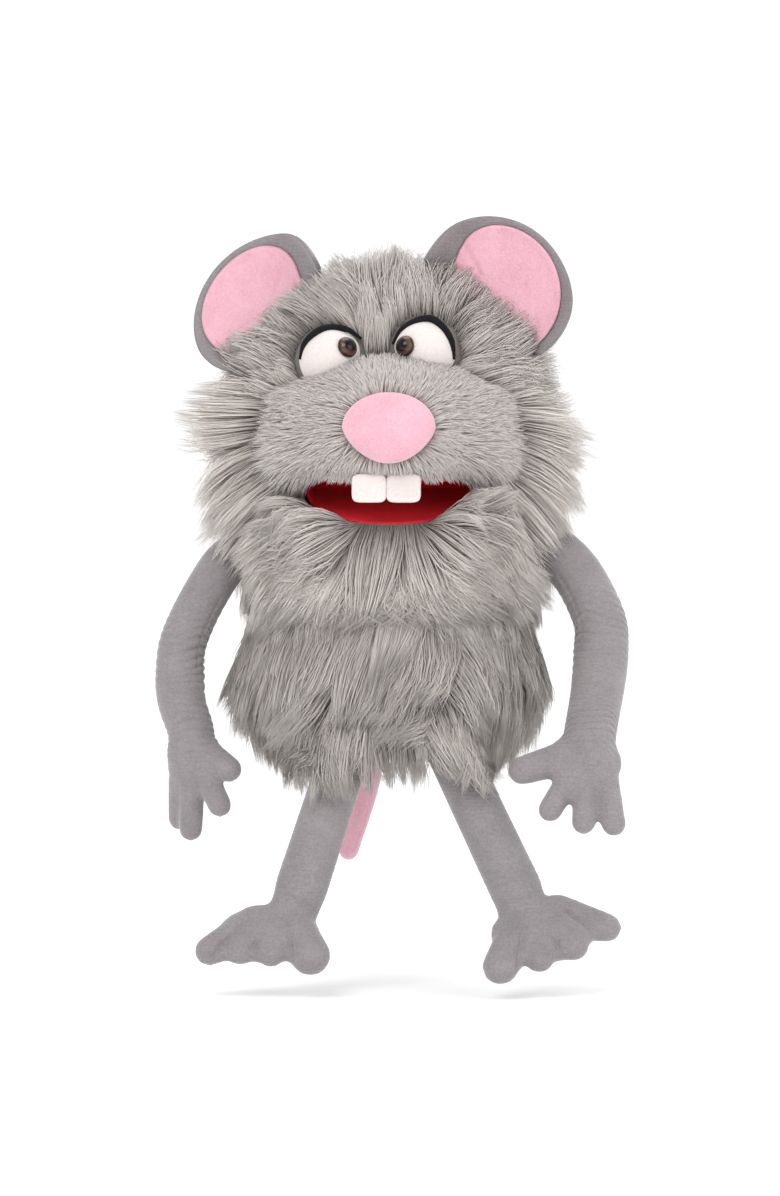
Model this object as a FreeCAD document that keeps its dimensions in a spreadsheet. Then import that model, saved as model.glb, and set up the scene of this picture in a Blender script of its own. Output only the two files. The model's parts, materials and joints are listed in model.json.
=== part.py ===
"""Long-pile rat hand puppet: a sleeve for the hand with a moving mouth, floppy ears and stuffed limbs.

Millimetres, +Z up, the face looks along -Y. The origin is the centre of the sleeve's lower edge.
"left" and "right" are the puppet's own, so its left side is +X.
"""

import FreeCAD
import Part
import math
import os

import Sketcher

CELLS = {
    # cloth, clearances and the sizes of whole tools
    "pelt_wall": 3, "plush_wall": 1.4, "sew_gap": 0.3, "seam_half": 0.15, "far": 160,
    "elastic_wall": 1,
    # sleeve for the hand
    "cuff_r": 40, "cuff_wall": 2.5, "cuff_top": 14,
    "elastic_low": 4, "elastic_high": 12, "elastic_gap": 0.2,
    "lining_r": 41.5, "lining_wall": 1.5, "lining_top": 50,
    # torso barrel
    "hem_r": 47.2, "hem_z": 2, "waist_r": 62, "waist_z": 34, "collar_r": 56.65, "collar_z": 66,
    "scoop_r": 46, "scoop_z": 96,
    # neck joint
    "neck_z": 78, "neck_clear_r": 50.4,
    "lower_neck_r": 43, "lower_neck_low": -15, "lower_neck_high": 3,
    "upper_neck_r": 44.8, "upper_neck_low": -9, "upper_neck_high": 11,
    # head
    "skirt_r": 49.8, "skirt_z": 70, "skull_r": 59.5, "skull_z": 140,
    "foam_r": 56.2, "foam_inner_r": 47, "foam_low": 125,
    "mouth_half": 46, "mouth_rear": -8, "mouth_top": 112,
    "passage_half": 38, "passage_top": 141.2,
    # muzzle and upper mouth
    "muzzle_r": 50, "muzzle_rise": 34, "muzzle_y": -38, "muzzle_z": 133, "muzzle_floor": 113,
    "board_wall": 2, "upper_board_r": 34, "upper_board_z": 113.2,
    "mouth_lining_wall": 2.5, "upper_lining_r": 36.5, "upper_lining_z": 110.4,
    "pocket_r": 36, "pocket_wall": 1.5, "pocket_z": 115.7, "pocket_rise": 24, "pocket_rear": -5,
    # teeth
    "tooth_wide": 15.2, "tooth_deep": 4.7, "tooth_tall": 13.2, "tooth_round": 2, "tooth_gap": 0.6,
    "teeth_x": -1.7, "teeth_rear": -75.3, "teeth_top": 112.7,
    # nose
    "nose_half": 21, "nose_rise": 16, "nose_deep": 13, "nose_x": -0.5, "nose_y": -90,
    # eyes
    "eye_r": 14.5, "eye_wall": 2, "eye_y": -46,
    "right_eye_x": -27, "right_eye_z": 165, "right_look_turn": 33.7, "right_look_lift": 21,
    "left_eye_x": 15.5, "left_eye_z": 168.5, "left_look_turn": -36.9, "left_look_lift": 8.7,
    "bead_r": 5, "bead_rise": 3.6, "bead_seat": 14.65,
    "shank_r": 1.75, "shank_foot": 9.5, "shank_hole_r": 2,
    "washer_r": 3.2, "washer_hole_r": 1.9, "washer_z": 10.6, "washer_wall": 1,
    "lid_r": 15.6, "lid_cord_r": 1.3, "lid_ahead": 4.5, "lid_start": 20, "lid_sweep": 130, "lid_slant": 12,
    # jaw, drawn level about the mouth hinge and then dropped open
    "hinge_z": 108.5, "hinge_tape_r": 0.9, "hinge_tape_half": 20, "jaw_drop": 16,
    "jaw_r": 37.5, "jaw_depth": 27, "jaw_wall": 2.5, "jaw_y": -26, "jaw_rear": -1.3, "jaw_top": -1.4,
    "lower_lining_wall": 2, "thumb_r": 9.4, "thumb_wall": 1, "thumb_z": -16, "thumb_front": -37,
    # ears
    "ear_r": 36, "ear_cup_r": 85, "ear_wall": 3, "ear_front_r": 31.5, "ear_front_wall": 2,
    "ear_root_r": 61.8, "ear_root_shift": -4, "ear_trim": 1.2,
    "left_ear_angle": 50.7, "left_ear_reach": 12.4, "left_ear_flop": 6,
    "right_ear_angle": 139, "right_ear_reach": 19, "right_ear_flop": 38,
    # arms
    "arm_r": 10.75, "arm_tab_r": 5.6, "arm_start": 7, "elbow_gap": 4, "wrist_gap": 2.5,
    "left_shoulder_x": 66, "left_shoulder_y": -6, "left_shoulder_z": 74,
    "left_elbow_x": 97, "left_elbow_y": -22, "left_elbow_z": 46,
    "left_wrist_x": 91, "left_wrist_y": -58, "left_wrist_z": -7,
    "right_shoulder_x": -66, "right_shoulder_y": -4, "right_shoulder_z": 74,
    "right_elbow_x": -96, "right_elbow_y": -12, "right_elbow_z": 36,
    "right_wrist_x": -92, "right_wrist_y": -22, "right_wrist_z": -7,
    # hands, drawn hanging below the wrist with the thumb on +X
    "palm_half": 16.5, "palm_thick": 7.5, "palm_tall": 17, "palm_x": 3, "palm_drop": 19,
    "finger_r": 6.2, "knuckle_drop": 25, "finger_step": 10.5, "finger_length": 23, "finger_splay": 8,
    "thumb_root_drop": 17, "thumb_angle": 66, "left_thumb_length": 35, "right_thumb_length": 28,
    "left_hand_yaw": 0, "left_hand_swing": 26, "right_hand_yaw": -30, "right_hand_swing": 8,
    # legs
    "leg_r": 12.5, "leg_tab_r": 5.6, "leg_start": 7, "ankle_gap": 3, "leg_y": -54, "hip_z": -4,
    "left_hip_x": 23, "left_ankle_x": 58, "left_ankle_z": -78,
    "right_hip_x": -17, "right_ankle_x": -41, "right_ankle_z": -78,
    # feet, drawn pointing along -Y in front of the ankle
    "instep_r": 22.5, "instep_half_thick": 9.2, "instep_y": -17.5, "foot_z": -9,
    "toe_r": 8.3, "toe_step": 15.4, "toe_y": -30, "toe_length": 17, "toe_splay": 9,
    "foot_pitch": 40, "left_foot_yaw": 14, "right_foot_yaw": -20,
    "left_foot_roll": -8, "right_foot_roll": 4,
    # tail
    "tail_r": 4.6, "tail_root_x": -4, "tail_root_y": 56, "tail_root_z": -2,
    "tail_bend_x": -10, "tail_bend_y": 62, "tail_bend_z": -36,
    "tail_tip_x": -20, "tail_tip_y": 72, "tail_tip_z": -68, "tail_gap": 2,
}

document = FreeCAD.newDocument("rat_hand_puppet")
sheet = document.addObject("Spreadsheet::Sheet", "Sheet")
for row, (alias, number) in enumerate(CELLS.items(), start=1):
    sheet.set(f"A{row}", alias)
    sheet.set(f"B{row}", str(number))
    sheet.setAlias(f"B{row}", alias)
document.recompute()

parts = []


class Size:
    """A number together with the sheet expression that gives it, so that arithmetic stays parametric."""

    def __init__(self, value, text):
        self.value = value
        self.text = text

    def __add__(self, other):
        other = size(other)
        return Size(self.value + other.value, f"({self.text} + {other.text})")

    def __sub__(self, other):
        other = size(other)
        return Size(self.value - other.value, f"({self.text} - {other.text})")

    def __mul__(self, other):
        other = size(other)
        return Size(self.value * other.value, f"({self.text} * {other.text})")

    def __truediv__(self, other):
        other = size(other)
        return Size(self.value / other.value, f"({self.text} / {other.text})")

    def __neg__(self):
        return Size(-self.value, f"(0 - {self.text})")

    def __radd__(self, other):
        return size(other) + self

    def __rsub__(self, other):
        return size(other) - self


def size(item):
    """Read an alias, a plain number or a Size as a Size."""
    if isinstance(item, Size):
        return item
    if isinstance(item, str):
        return Size(float(CELLS[item]), f"Sheet.{item}")
    return Size(float(item), str(item))


def root(item):
    return Size(math.sqrt(item.value), f"sqrt({item.text})")


def sine(item):
    item = size(item)
    return Size(math.sin(math.radians(item.value)), f"sin({item.text})")


def cosine(item):
    item = size(item)
    return Size(math.cos(math.radians(item.value)), f"cos({item.text})")


def half_chord(radius, distance):
    """Half the width of a circle where a line passes at a distance from its centre."""
    radius = size(radius)
    distance = size(distance)
    return root(radius * radius - distance * distance)


def point(x, y, z):
    return (size(x), size(y), size(z))


def vector_text(place):
    return f"vector({place[0].text}; {place[1].text}; {place[2].text})"


def turn(axis, angle):
    """The sheet expression of a rotation about x, y or z."""
    return f"rotation{axis}({size(angle).text})"


def put(thing, at, rotation="rotationx(0)"):
    thing.setExpression("Placement", f"placement({vector_text(at)}; {rotation})")
    return thing


def primitive(kind, name, **sizes):
    """A Part primitive whose sizes are bound to the sheet."""
    thing = document.addObject(f"Part::{kind}", name)
    for prop, item in sizes.items():
        thing.setExpression(prop, size(item).text)
    return thing


def ball(name, radius, at):
    return put(primitive("Sphere", name, Radius=radius), at)


def egg(name, half_x, half_y, half_z, at, rotation="rotationx(0)"):
    return put(primitive("Ellipsoid", name, Radius1=half_z, Radius2=half_x, Radius3=half_y), at, rotation)


def slab(name, low, high):
    """A box between its lowest and highest corners."""
    spans = [top - bottom for bottom, top in zip(low, high)]
    return put(primitive("Box", name, Length=spans[0], Width=spans[1], Height=spans[2]), low)


def cut(name, base, *tools):
    """Take each tool away in turn."""
    for index, tool in enumerate(tools):
        step = document.addObject("Part::Cut", f"{name}_cut{index}")
        step.Base = base
        step.Tool = tool
        base = step
    return base


def fuse(name, items):
    step = document.addObject("Part::MultiFuse", f"{name}_fuse")
    step.Shapes = items
    return step


def group(name, items):
    step = document.addObject("Part::Compound", f"{name}_group")
    step.Links = items
    return step


def part(name, thing):
    """Name a finished sub-part, which is also the name of its file."""
    thing.Label = name
    parts.append(thing)
    return thing


def origin_plane(body, role):
    return next(item for item in body.Origin.OriginFeatures if item.Role == role)


def new_sketch(body, name, role):
    sketch = body.newObject("Sketcher::SketchObject", f"{name}_sketch")
    sketch.AttachmentSupport = [(origin_plane(body, role), "")]
    sketch.MapMode = "FlatFace"
    return sketch


def arc_between(start, end, centre_y):
    """The shorter arc between two points whose centre is at a known height."""
    half_x = (start[0] + end[0]) / 2
    half_y = (start[1] + end[1]) / 2
    slide = (centre_y - half_y) / (end[0] - start[0])
    centre_x = half_x - slide * (end[1] - start[1])
    radius = math.hypot(start[0] - centre_x, start[1] - centre_y)
    reach = math.hypot(half_x - centre_x, half_y - centre_y)
    middle = FreeCAD.Vector(
        centre_x + (half_x - centre_x) * radius / reach,
        centre_y + (half_y - centre_y) * radius / reach,
        0,
    )
    return Part.Arc(FreeCAD.Vector(*start, 0), middle, FreeCAD.Vector(*end, 0))


def lock(sketch, geometry, vertex, place):
    """Hold a sketch point at a place given from the sheet."""
    for kind, item in zip(("DistanceX", "DistanceY"), place):
        index = sketch.addConstraint(Sketcher.Constraint(kind, -1, 1, geometry, vertex, item.value))
        sketch.setExpression(f"Constraints[{index}]", item.text)


def outline(sketch, corners, arcs):
    """Draw a closed outline; arcs maps a side's number to the height of that arc's centre."""
    corners = [(size(x), size(y)) for x, y in corners]
    sides = []
    for index, corner in enumerate(corners):
        start = (corner[0].value, corner[1].value)
        following = corners[(index + 1) % len(corners)]
        end = (following[0].value, following[1].value)
        if index in arcs:
            shape = arc_between(start, end, size(arcs[index]).value)
        else:
            shape = Part.LineSegment(FreeCAD.Vector(*start, 0), FreeCAD.Vector(*end, 0))
        sides.append(sketch.addGeometry(shape, False))
    starts = []
    for side, corner in zip(sides, corners):
        first = sketch.getPoint(side, 1)
        forward = math.hypot(first.x - corner[0].value, first.y - corner[1].value) < 1e-6
        starts.append(1 if forward else 2)
    for index, side in enumerate(sides):
        following = (index + 1) % len(sides)
        sketch.addConstraint(
            Sketcher.Constraint("Coincident", side, 3 - starts[index], sides[following], starts[following])
        )
        lock(sketch, side, starts[index], corners[index])
        if index in arcs:
            height = size(arcs[index])
            held = sketch.addConstraint(Sketcher.Constraint("DistanceY", -1, 1, side, 3, height.value))
            sketch.setExpression(f"Constraints[{held}]", height.text)


def turned(name, corners, arcs):
    """A body of revolution about Z, from an outline of (radius, height) corners."""
    body = document.addObject("PartDesign::Body", name)
    sketch = new_sketch(body, name, "XZ_Plane")
    outline(sketch, corners, arcs)
    revolution = body.newObject("PartDesign::Revolution", f"{name}_revolution")
    revolution.Profile = sketch
    revolution.ReferenceAxis = (sketch, ["V_Axis"])
    revolution.Angle = 360
    return body


def plate(name, corners, arcs, base, rise):
    """A flat piece cut to an outline of (x, y) corners, lying from one height upwards."""
    body = document.addObject("PartDesign::Body", name)
    sketch = new_sketch(body, name, "XY_Plane")
    outline(sketch, corners, arcs)
    pad = body.newObject("PartDesign::Pad", f"{name}_pad")
    pad.Profile = sketch
    pad.setExpression("Length", size(rise).text)
    return put(body, point(0, 0, base))


def tongue(name, half, centre_y, rear_y, base, rise):
    """A flat tongue: straight sides from the rear, and a round front end."""
    half = size(half)
    front = size(centre_y) - half
    corners = [(half, rear_y), (half, centre_y), (0, front), (-half, centre_y), (-half, rear_y)]
    return plate(name, corners, {1: centre_y, 2: centre_y}, base, rise)


def lobe(name, radius, centre_y, rear_y, base, rise):
    """A round flat piece with a straight rear edge."""
    side = half_chord(radius, size(rear_y) - size(centre_y))
    front = size(centre_y) - size(radius)
    left = size(radius)
    corners = [(side, rear_y), (left, centre_y), (0, front), (-left, centre_y), (-side, rear_y)]
    return plate(name, corners, {0: centre_y, 1: centre_y, 2: centre_y, 3: centre_y}, base, rise)


def distance(start, end):
    spans = [last - first for first, last in zip(start, end)]
    return root(spans[0] * spans[0] + spans[1] * spans[1] + spans[2] * spans[2])


def along(start, end):
    """The rotation that turns +Z onto the line from start to end."""
    spans = tuple(last - first for first, last in zip(start, end))
    return f"rotation(vector(0; 0; 1); {vector_text(spans)})"


def capsule(name, radius, low, high):
    """A solid rod with round ends, upright, between two heights."""
    radius, low, high = size(radius), size(low), size(high)
    corners = [(0, low), (radius, low + radius), (radius, high - radius), (0, high)]
    return turned(name, corners, {0: low + radius, 2: high - radius})


def hollow_capsule(name, radius, wall, low, high):
    """The same rod as a closed skin with an empty middle."""
    radius, wall, low, high = size(radius), size(wall), size(low), size(high)
    inner = radius - wall
    corners = [
        (0, low), (radius, low + radius), (radius, high - radius), (0, high),
        (0, high - wall), (inner, high - radius), (inner, low + radius), (0, low + wall),
    ]
    arcs = {0: low + radius, 2: high - radius, 4: high - radius, 6: low + radius}
    return turned(name, corners, arcs)


def stuffed_limb(cover_name, filling_name, radius, start, end, start_gap, end_gap):
    """A plush tube sewn round at both ends, and the stuffing inside it."""
    length = distance(start, end)
    low = size(start_gap)
    high = length - end_gap
    rotation = along(start, end)
    skin = size("plush_wall")
    clear = skin + "sew_gap"
    cover = hollow_capsule(cover_name, radius, skin, low, high)
    filling = capsule(filling_name, size(radius) - clear, low + clear, high - clear)
    part(cover_name, put(cover, start, rotation))
    part(filling_name, put(filling, start, rotation))


# ---------------------------------------------------------------- sleeve and torso

def ring(name, radius, wall, low, high):
    radius = size(radius)
    outer = radius + wall
    return turned(name, [(radius, low), (outer, low), (outer, high), (radius, high)], {})


def barrel_side(inset):
    """The torso's side line from hem to collar, moved inwards by the inset."""
    return [
        (size("hem_r") - inset, size("hem_z")),
        (size("waist_r") - inset, size("waist_z")),
        (size("collar_r") - inset, size("collar_z")),
    ]


def build_torso():
    part("sleeve_cuff", ring("sleeve_cuff", "cuff_r", "cuff_wall", 0, "cuff_top"))
    elastic_r = size("cuff_r") + "cuff_wall" + "elastic_gap"
    part("cuff_elastic", ring("cuff_elastic", elastic_r, "elastic_wall", "elastic_low", "elastic_high"))
    lining_low = size("cuff_top") + "sew_gap"
    part("torso_lining", ring("torso_lining", "lining_r", "lining_wall", lining_low, "lining_top"))

    scoop = primitive("Cylinder", "neckline_scoop", Radius="scoop_r", Height="far")
    put(scoop, point(0, 0, "scoop_z"), turn("x", 90))

    outer = barrel_side(0)
    inner = barrel_side("pelt_wall")
    arcs = dict.fromkeys((0, 1, 3, 4), "waist_z")
    shell = turned("torso_shell", outer + inner[::-1], arcs)
    far = size("far")
    rear_half = slab("torso_rear_half", point(-far, -size("seam_half"), -far), point(far, far, far))
    front_half = slab("torso_front_half", point(-far, -far, -far), point(far, "seam_half", far))
    part("torso_pelt_front", cut("torso_pelt_front", shell, rear_half, scoop))
    part("torso_pelt_back", cut("torso_pelt_back", shell, front_half))

    pad_side = barrel_side(size("pelt_wall") + "sew_gap")
    pad_r = size("lining_r") + "lining_wall" + "sew_gap"
    corners = pad_side + [(pad_r, "collar_z"), (pad_r, "hem_z")]
    wadding = turned("torso_wadding_ring", corners, {0: "waist_z", 1: "waist_z"})
    cuff_room = slab("cuff_room", point(-far, -far, -far), point(far, far, lining_low))
    neck_room = ball("neck_room", "neck_clear_r", point(0, 0, "neck_z"))
    part("torso_wadding", cut("torso_wadding", wadding, cuff_room, neck_room, scoop))


def neck_band(name, radius, low, high):
    """The rear half of a ball-joint band: a strip of a sphere about the neck's centre."""
    inner = size(radius)
    outer = inner + "plush_wall"
    corners = [(half_chord(outer, low), low), (half_chord(outer, high), high),
               (half_chord(inner, high), high), (half_chord(inner, low), low)]
    band = turned(f"{name}_band", corners, {0: 0, 2: 0})
    far = size("far")
    front_room = slab(f"{name}_front", point(-far, -far, -far), point(far, 0, far))
    part(name, put(cut(name, band, front_room), point(0, 0, "neck_z")))


# ---------------------------------------------------------------- head

def skull_side(grow):
    """The head's side line from skirt to crown, moved outwards by the amount given."""
    skirt_r = size("skirt_r") + grow
    skull_r = size("skull_r") + grow
    skirt_rise = size("neck_z") - "skirt_z"
    return [
        (half_chord(skirt_r, skirt_rise), size("skirt_z")),
        (skirt_r, size("neck_z")),
        (skull_r, size("skull_z")),
        (size(0), size("skull_z") + skull_r),
    ]


def muzzle_egg(name, shrink):
    half = size("muzzle_r") - shrink
    rise = size("muzzle_rise") - shrink
    return egg(name, half, half, rise, point(0, "muzzle_y", "muzzle_z"))


def build_head(skull_room):
    outer = skull_side(0)
    inner = skull_side(-size("pelt_wall"))
    arcs = {0: "neck_z", 1: "skull_z", 2: "skull_z", 4: "skull_z", 5: "skull_z", 6: "neck_z"}
    shell = turned("head_shell", outer + inner[::-1], arcs)
    far = size("far")
    rear_half = slab("head_rear_half", point(-far, -size("seam_half"), 0), point(far, far, size("far") * 2))
    front_half = slab("head_front_half", point(-far, -far, 0), point(far, "seam_half", size("far") * 2))
    half = size("mouth_half")
    mouth = slab("mouth_room", point(-half, -far, 0), point(half, "mouth_rear", "mouth_top"))
    half = size("passage_half")
    passage_low = point(-half, -far, "mouth_top")
    passage = slab("finger_passage", passage_low, point(half, "pocket_rear", "passage_top"))
    part("head_pelt_front", cut("head_pelt_front", shell, rear_half, mouth, passage))
    part("head_pelt_back", cut("head_pelt_back", shell, front_half))

    centre = point(0, 0, "skull_z")
    dome = ball("foam_dome", "foam_r", centre)
    hollow = ball("foam_hollow", "foam_inner_r", centre)
    floor = slab("foam_floor", point(-far, -far, 0), point(far, far, "foam_low"))
    part("head_foam", cut("head_foam", dome, hollow, floor, passage))
    build_muzzle(skull_room)


def build_muzzle(skull_room):
    far = size("far")
    floor = slab("muzzle_floor_room", point(-far, -far, 0), point(far, far, "muzzle_floor"))
    skin = muzzle_egg("muzzle_skin", 0)
    hollow = muzzle_egg("muzzle_hollow", "pelt_wall")
    part("muzzle_pelt", cut("muzzle_pelt", skin, hollow, floor, skull_room))

    gap = size("sew_gap")
    pocket = size("pocket_r")
    room_half = pocket + gap
    room_rise = size("pocket_rise") + gap + gap
    room = tongue("pocket_room", room_half, "muzzle_y", "pocket_rear", size("pocket_z") - gap, room_rise)
    pad = muzzle_egg("muzzle_pad", size("pelt_wall") + gap)
    pad_floor = slab("muzzle_pad_floor", point(-far, -far, 0), point(far, far, size("pocket_z") - gap))
    part("muzzle_wadding", cut("muzzle_wadding", pad, pad_floor, room, skull_room))

    for name, radius, wall in (("board", "upper_board_r", "board_wall"),
                               ("lining", "upper_lining_r", "mouth_lining_wall")):
        label = f"upper_mouth_{name}"
        part(label, tongue(label, radius, "muzzle_y", "mouth_rear", f"upper_{name}_z", wall))

    wall = size("pocket_wall")
    sleeve = tongue("pocket_sleeve", pocket, "muzzle_y", "pocket_rear", "pocket_z", "pocket_rise")
    inside_rise = size("pocket_rise") - wall - wall
    inside = tongue("pocket_inside", pocket - wall, "muzzle_y", 0, size("pocket_z") + wall, inside_rise)
    part("finger_pocket", cut("finger_pocket", sleeve, inside))


def build_nose(muzzle_room):
    gap = size("sew_gap")
    skin = size("plush_wall")
    place = point("nose_x", "nose_y", "muzzle_z")
    half, deep, rise = size("nose_half"), size("nose_deep"), size("nose_rise")
    cover = egg("nose_skin", half, deep, rise, place)
    hollow = egg("nose_hollow", half - skin, deep - skin, rise - skin, place)
    part("nose_cover", cut("nose_cover", cover, hollow, muzzle_room))
    inset = skin + gap
    pad = egg("nose_pad", half - inset, deep - inset, rise - inset, place)
    part("nose_wadding", cut("nose_wadding", pad, muzzle_room))


def build_teeth():
    """Two soft teeth that hang from the upper lip."""
    teeth = []
    wide = size("tooth_wide")
    for index, step in enumerate((-1, 1)):
        name = f"tooth{index}"
        body = document.addObject("PartDesign::Body", name)
        sketch = new_sketch(body, name, "XY_Plane")
        corners = [(0, 0), (wide, 0), (wide, "tooth_deep"), (0, "tooth_deep")]
        outline(sketch, corners, {})
        pad = body.newObject("PartDesign::Pad", f"{name}_pad")
        pad.Profile = sketch
        pad.setExpression("Length", size("tooth_tall").text)
        document.recompute()
        rounding = body.newObject("PartDesign::Fillet", f"{name}_rounding")
        rounding.Base = (pad, [f"Edge{edge + 1}" for edge in range(len(pad.Shape.Edges))])
        rounding.setExpression("Radius", size("tooth_round").text)
        shift = size("tooth_gap") * 0.5
        start = shift if step > 0 else -shift - wide
        front = size("teeth_rear") - "tooth_deep"
        bottom = size("teeth_top") - "tooth_tall"
        teeth.append(put(body, point(size("teeth_x") + start, front, bottom)))
    part("teeth", group("teeth", teeth))


def build_eye(side, skull_room, muzzle_room):
    """A plush eyeball half sunk in the head, its felt rim and its screw-in safety eye."""
    place = point(f"{side}_eye_x", "eye_y", f"{side}_eye_z")
    look = f"{turn('z', f'{side}_look_turn')} * {turn('x', 90 - size(f'{side}_look_lift'))}"
    hole = put(primitive("Cylinder", f"shank_hole_{side}", Radius="shank_hole_r", Height="far"), place, look)
    skin = ball(f"eye_skin_{side}", "eye_r", place)
    hollow = ball(f"eye_hollow_{side}", size("eye_r") - "eye_wall", place)
    part(f"eye_white_{side}", cut(f"eye_white_{side}", skin, hollow, skull_room, muzzle_room, hole))

    seat = size("bead_seat")
    corners = [
        (0, "shank_foot"), ("shank_r", "shank_foot"), ("shank_r", seat), ("bead_r", seat),
        (0, seat + "bead_rise"),
    ]
    rim_r, rise = size("bead_r"), size("bead_rise")
    crown_r = (rim_r * rim_r + rise * rise) / (rise * 2)
    bead = turned(f"safety_eye_{side}", corners, {3: seat + rise - crown_r})
    part(f"safety_eye_{side}", put(bead, place, look))

    slant = size("lid_slant") if side == "right" else -size("lid_slant")
    cord = primitive("Torus", f"lid_cord_{side}", Radius1="lid_r", Radius2="lid_cord_r", Angle3="lid_sweep")
    ahead = point(place[0], size("eye_y") - "lid_ahead", place[2])
    lean = turn("y", slant - "lid_start")
    put(cord, ahead, f"{lean} * {turn('x', 90)}")
    part(f"eyelid_{side}", cut(f"eyelid_{side}", cord, skull_room, muzzle_room))

    washer = ring(f"eye_washer_{side}", "washer_hole_r", size("washer_r") - "washer_hole_r", "washer_z",
                  size("washer_z") + "washer_wall")
    return put(washer, place, look)


# ---------------------------------------------------------------- jaw

def build_jaw():
    """The lower mouth, drawn level about the hinge line and then dropped to its resting gape."""
    hinge = point(0, "mouth_rear", "hinge_z")
    drop = turn("x", "jaw_drop")
    gap = size("sew_gap")
    far = size("far")
    top, rear = size("jaw_top"), size("jaw_rear")
    wall = size("jaw_wall")

    tape_length = size("hinge_tape_half") * 2
    tape = primitive("Cylinder", "mouth_hinge_tape", Radius="hinge_tape_r", Height=tape_length)
    put(tape, point(-size("hinge_tape_half"), "mouth_rear", "hinge_z"), turn("y", 90))
    part("mouth_hinge_tape", tape)

    thumb_outer = size("thumb_r")
    thumb_inner = thumb_outer - "thumb_wall"
    thumb_at = point(0, size("jaw_rear") - 1, "thumb_z")
    length = thumb_at[1] - size("thumb_front")

    def finger_stall(name, radius, low, high):
        corners = [(0, low), (radius, low), (radius, high - radius), (0, high)]
        return turned(name, corners, {2: high - radius})

    def stall_room(name, grow):
        room = finger_stall(name, thumb_outer + grow, -20 - size(grow), length + grow)
        return put(room, thumb_at, turn("x", 90))

    bowl_at = point(0, "jaw_y", top)
    half, depth = size("jaw_r"), size("jaw_depth")
    above = slab("jaw_above", point(-far, -far, top), point(far, far, far))
    behind = slab("jaw_behind", point(-far, rear, -far), point(far, far, far))
    bowl = egg("jaw_bowl", half, half, depth, bowl_at)
    hollow = egg("jaw_hollow", half - wall, half - wall, depth - wall, bowl_at)
    pelt = cut("jaw_pelt", bowl, hollow, above, behind, stall_room("jaw_stall_room", gap))
    part("jaw_pelt", put(pelt, hinge, drop))

    lining_r = half - wall - gap
    lining_low = top - "lower_lining_wall"
    lining = lobe("lower_lining_plate", lining_r, "jaw_y", rear, lining_low, "lower_lining_wall")
    part("lower_mouth_lining", put(group("lower_mouth_lining", [lining]), hinge, drop))

    board_low = lining_low - gap - "board_wall"
    board = lobe("lower_board_plate", lining_r - 3, "jaw_y", rear, board_low, "board_wall")
    part("lower_mouth_board", put(group("lower_mouth_board", [board]), hinge, drop))

    pad_half = half - wall - gap
    pad = egg("chin_pad", pad_half, pad_half, depth - wall - gap, bowl_at)
    pad_above = slab("chin_above", point(-far, -far, board_low - gap), point(far, far, far))
    wadding = cut("chin_wadding", pad, pad_above, behind, stall_room("chin_stall_room", gap))
    part("chin_wadding", put(wadding, hinge, drop))

    stall = finger_stall("thumb_stall", thumb_outer, size(0), length)
    inside = finger_stall("thumb_inside", thumb_inner, size(-1), length - "thumb_wall")
    pocket = put(cut("thumb_pocket", stall, inside), thumb_at, turn("x", 90))
    part("thumb_pocket", put(group("thumb_pocket", [pocket]), hinge, drop))


# ---------------------------------------------------------------- ears

def cupped_disc(name, radius, back_r, front_r):
    """A round piece of a thick bowl that opens towards +Z, with its lowest point at the cup's back."""
    cup = size("ear_cup_r")
    corners = [
        (0, cup - back_r), (radius, cup - half_chord(back_r, radius)),
        (radius, cup - half_chord(front_r, radius)), (0, cup - front_r),
    ]
    return turned(name, corners, {0: cup, 2: cup})


def build_ear(side):
    """A plush ear drawn with its root line through the origin and its tip along +X."""
    angle = size(f"{side}_ear_angle")
    root_x = cosine(angle) * "ear_root_r"
    root_z = sine(angle) * "ear_root_r" + "skull_z"
    rotation = " * ".join([turn("y", -angle), turn("x", 90), turn("y", f"{side}_ear_flop")])
    place = point(root_x, 0, root_z)
    shift = point(f"{side}_ear_reach", 0, "ear_root_shift")
    far = size("far")
    cup = size("ear_cup_r")
    middle_r = cup - "ear_wall"
    pink_r = middle_r - "sew_gap"
    trim = slab(f"ear_trim_{side}", point(-far, -far, -far), point("ear_trim", far, far))
    back = put(cupped_disc(f"ear_back_disc_{side}", "ear_r", cup, middle_r), shift)
    part(f"ear_back_{side}", put(cut(f"ear_back_{side}", back, trim), place, rotation))
    pink_front_r = pink_r - "ear_front_wall"
    front = put(cupped_disc(f"ear_front_disc_{side}", "ear_front_r", pink_r, pink_front_r), shift)
    part(f"ear_front_{side}", put(cut(f"ear_front_{side}", front, trim), place, rotation))


# ---------------------------------------------------------------- arms and hands

def joint_point(side, name):
    return point(f"{side}_{name}_x", f"{side}_{name}_y", f"{side}_{name}_z")


def finger(name, radius, start, length, lean):
    """A round-ended finger from a point, hanging down and leaning sideways towards +X."""
    rod = capsule(name, radius, -size(radius), length)
    return put(rod, start, f"{turn('y', lean)} * {turn('x', 180)}")


def build_hand(side):
    """A flat palm with three fingers and a thumb, in one piece, hanging from the wrist."""
    inward = -1 if side == "left" else 1
    palm_x = size("palm_x") * inward
    palm = egg(f"palm_{side}", "palm_half", "palm_thick", "palm_tall", point(palm_x, 0, -size("palm_drop")))
    pieces = [palm]
    for index in (-1, 0, 1):
        start = point(palm_x + size("finger_step") * index, 0, -size("knuckle_drop"))
        lean = size("finger_splay") * -index
        pieces.append(finger(f"finger_{side}_{index + 1}", "finger_r", start, "finger_length", lean))
    thumb_start = point(palm_x, 0, -size("thumb_root_drop"))
    lean = size("thumb_angle") * -inward
    pieces.append(finger(f"thumb_{side}", "finger_r", thumb_start, f"{side}_thumb_length", lean))
    rotation = f"{turn('z', size(f'{side}_hand_yaw') * inward)} * {turn('x', -size(f'{side}_hand_swing'))}"
    cover = fuse(f"hand_cover_{side}", pieces)
    part(f"hand_cover_{side}", put(cover, joint_point(side, "wrist"), rotation))


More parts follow.
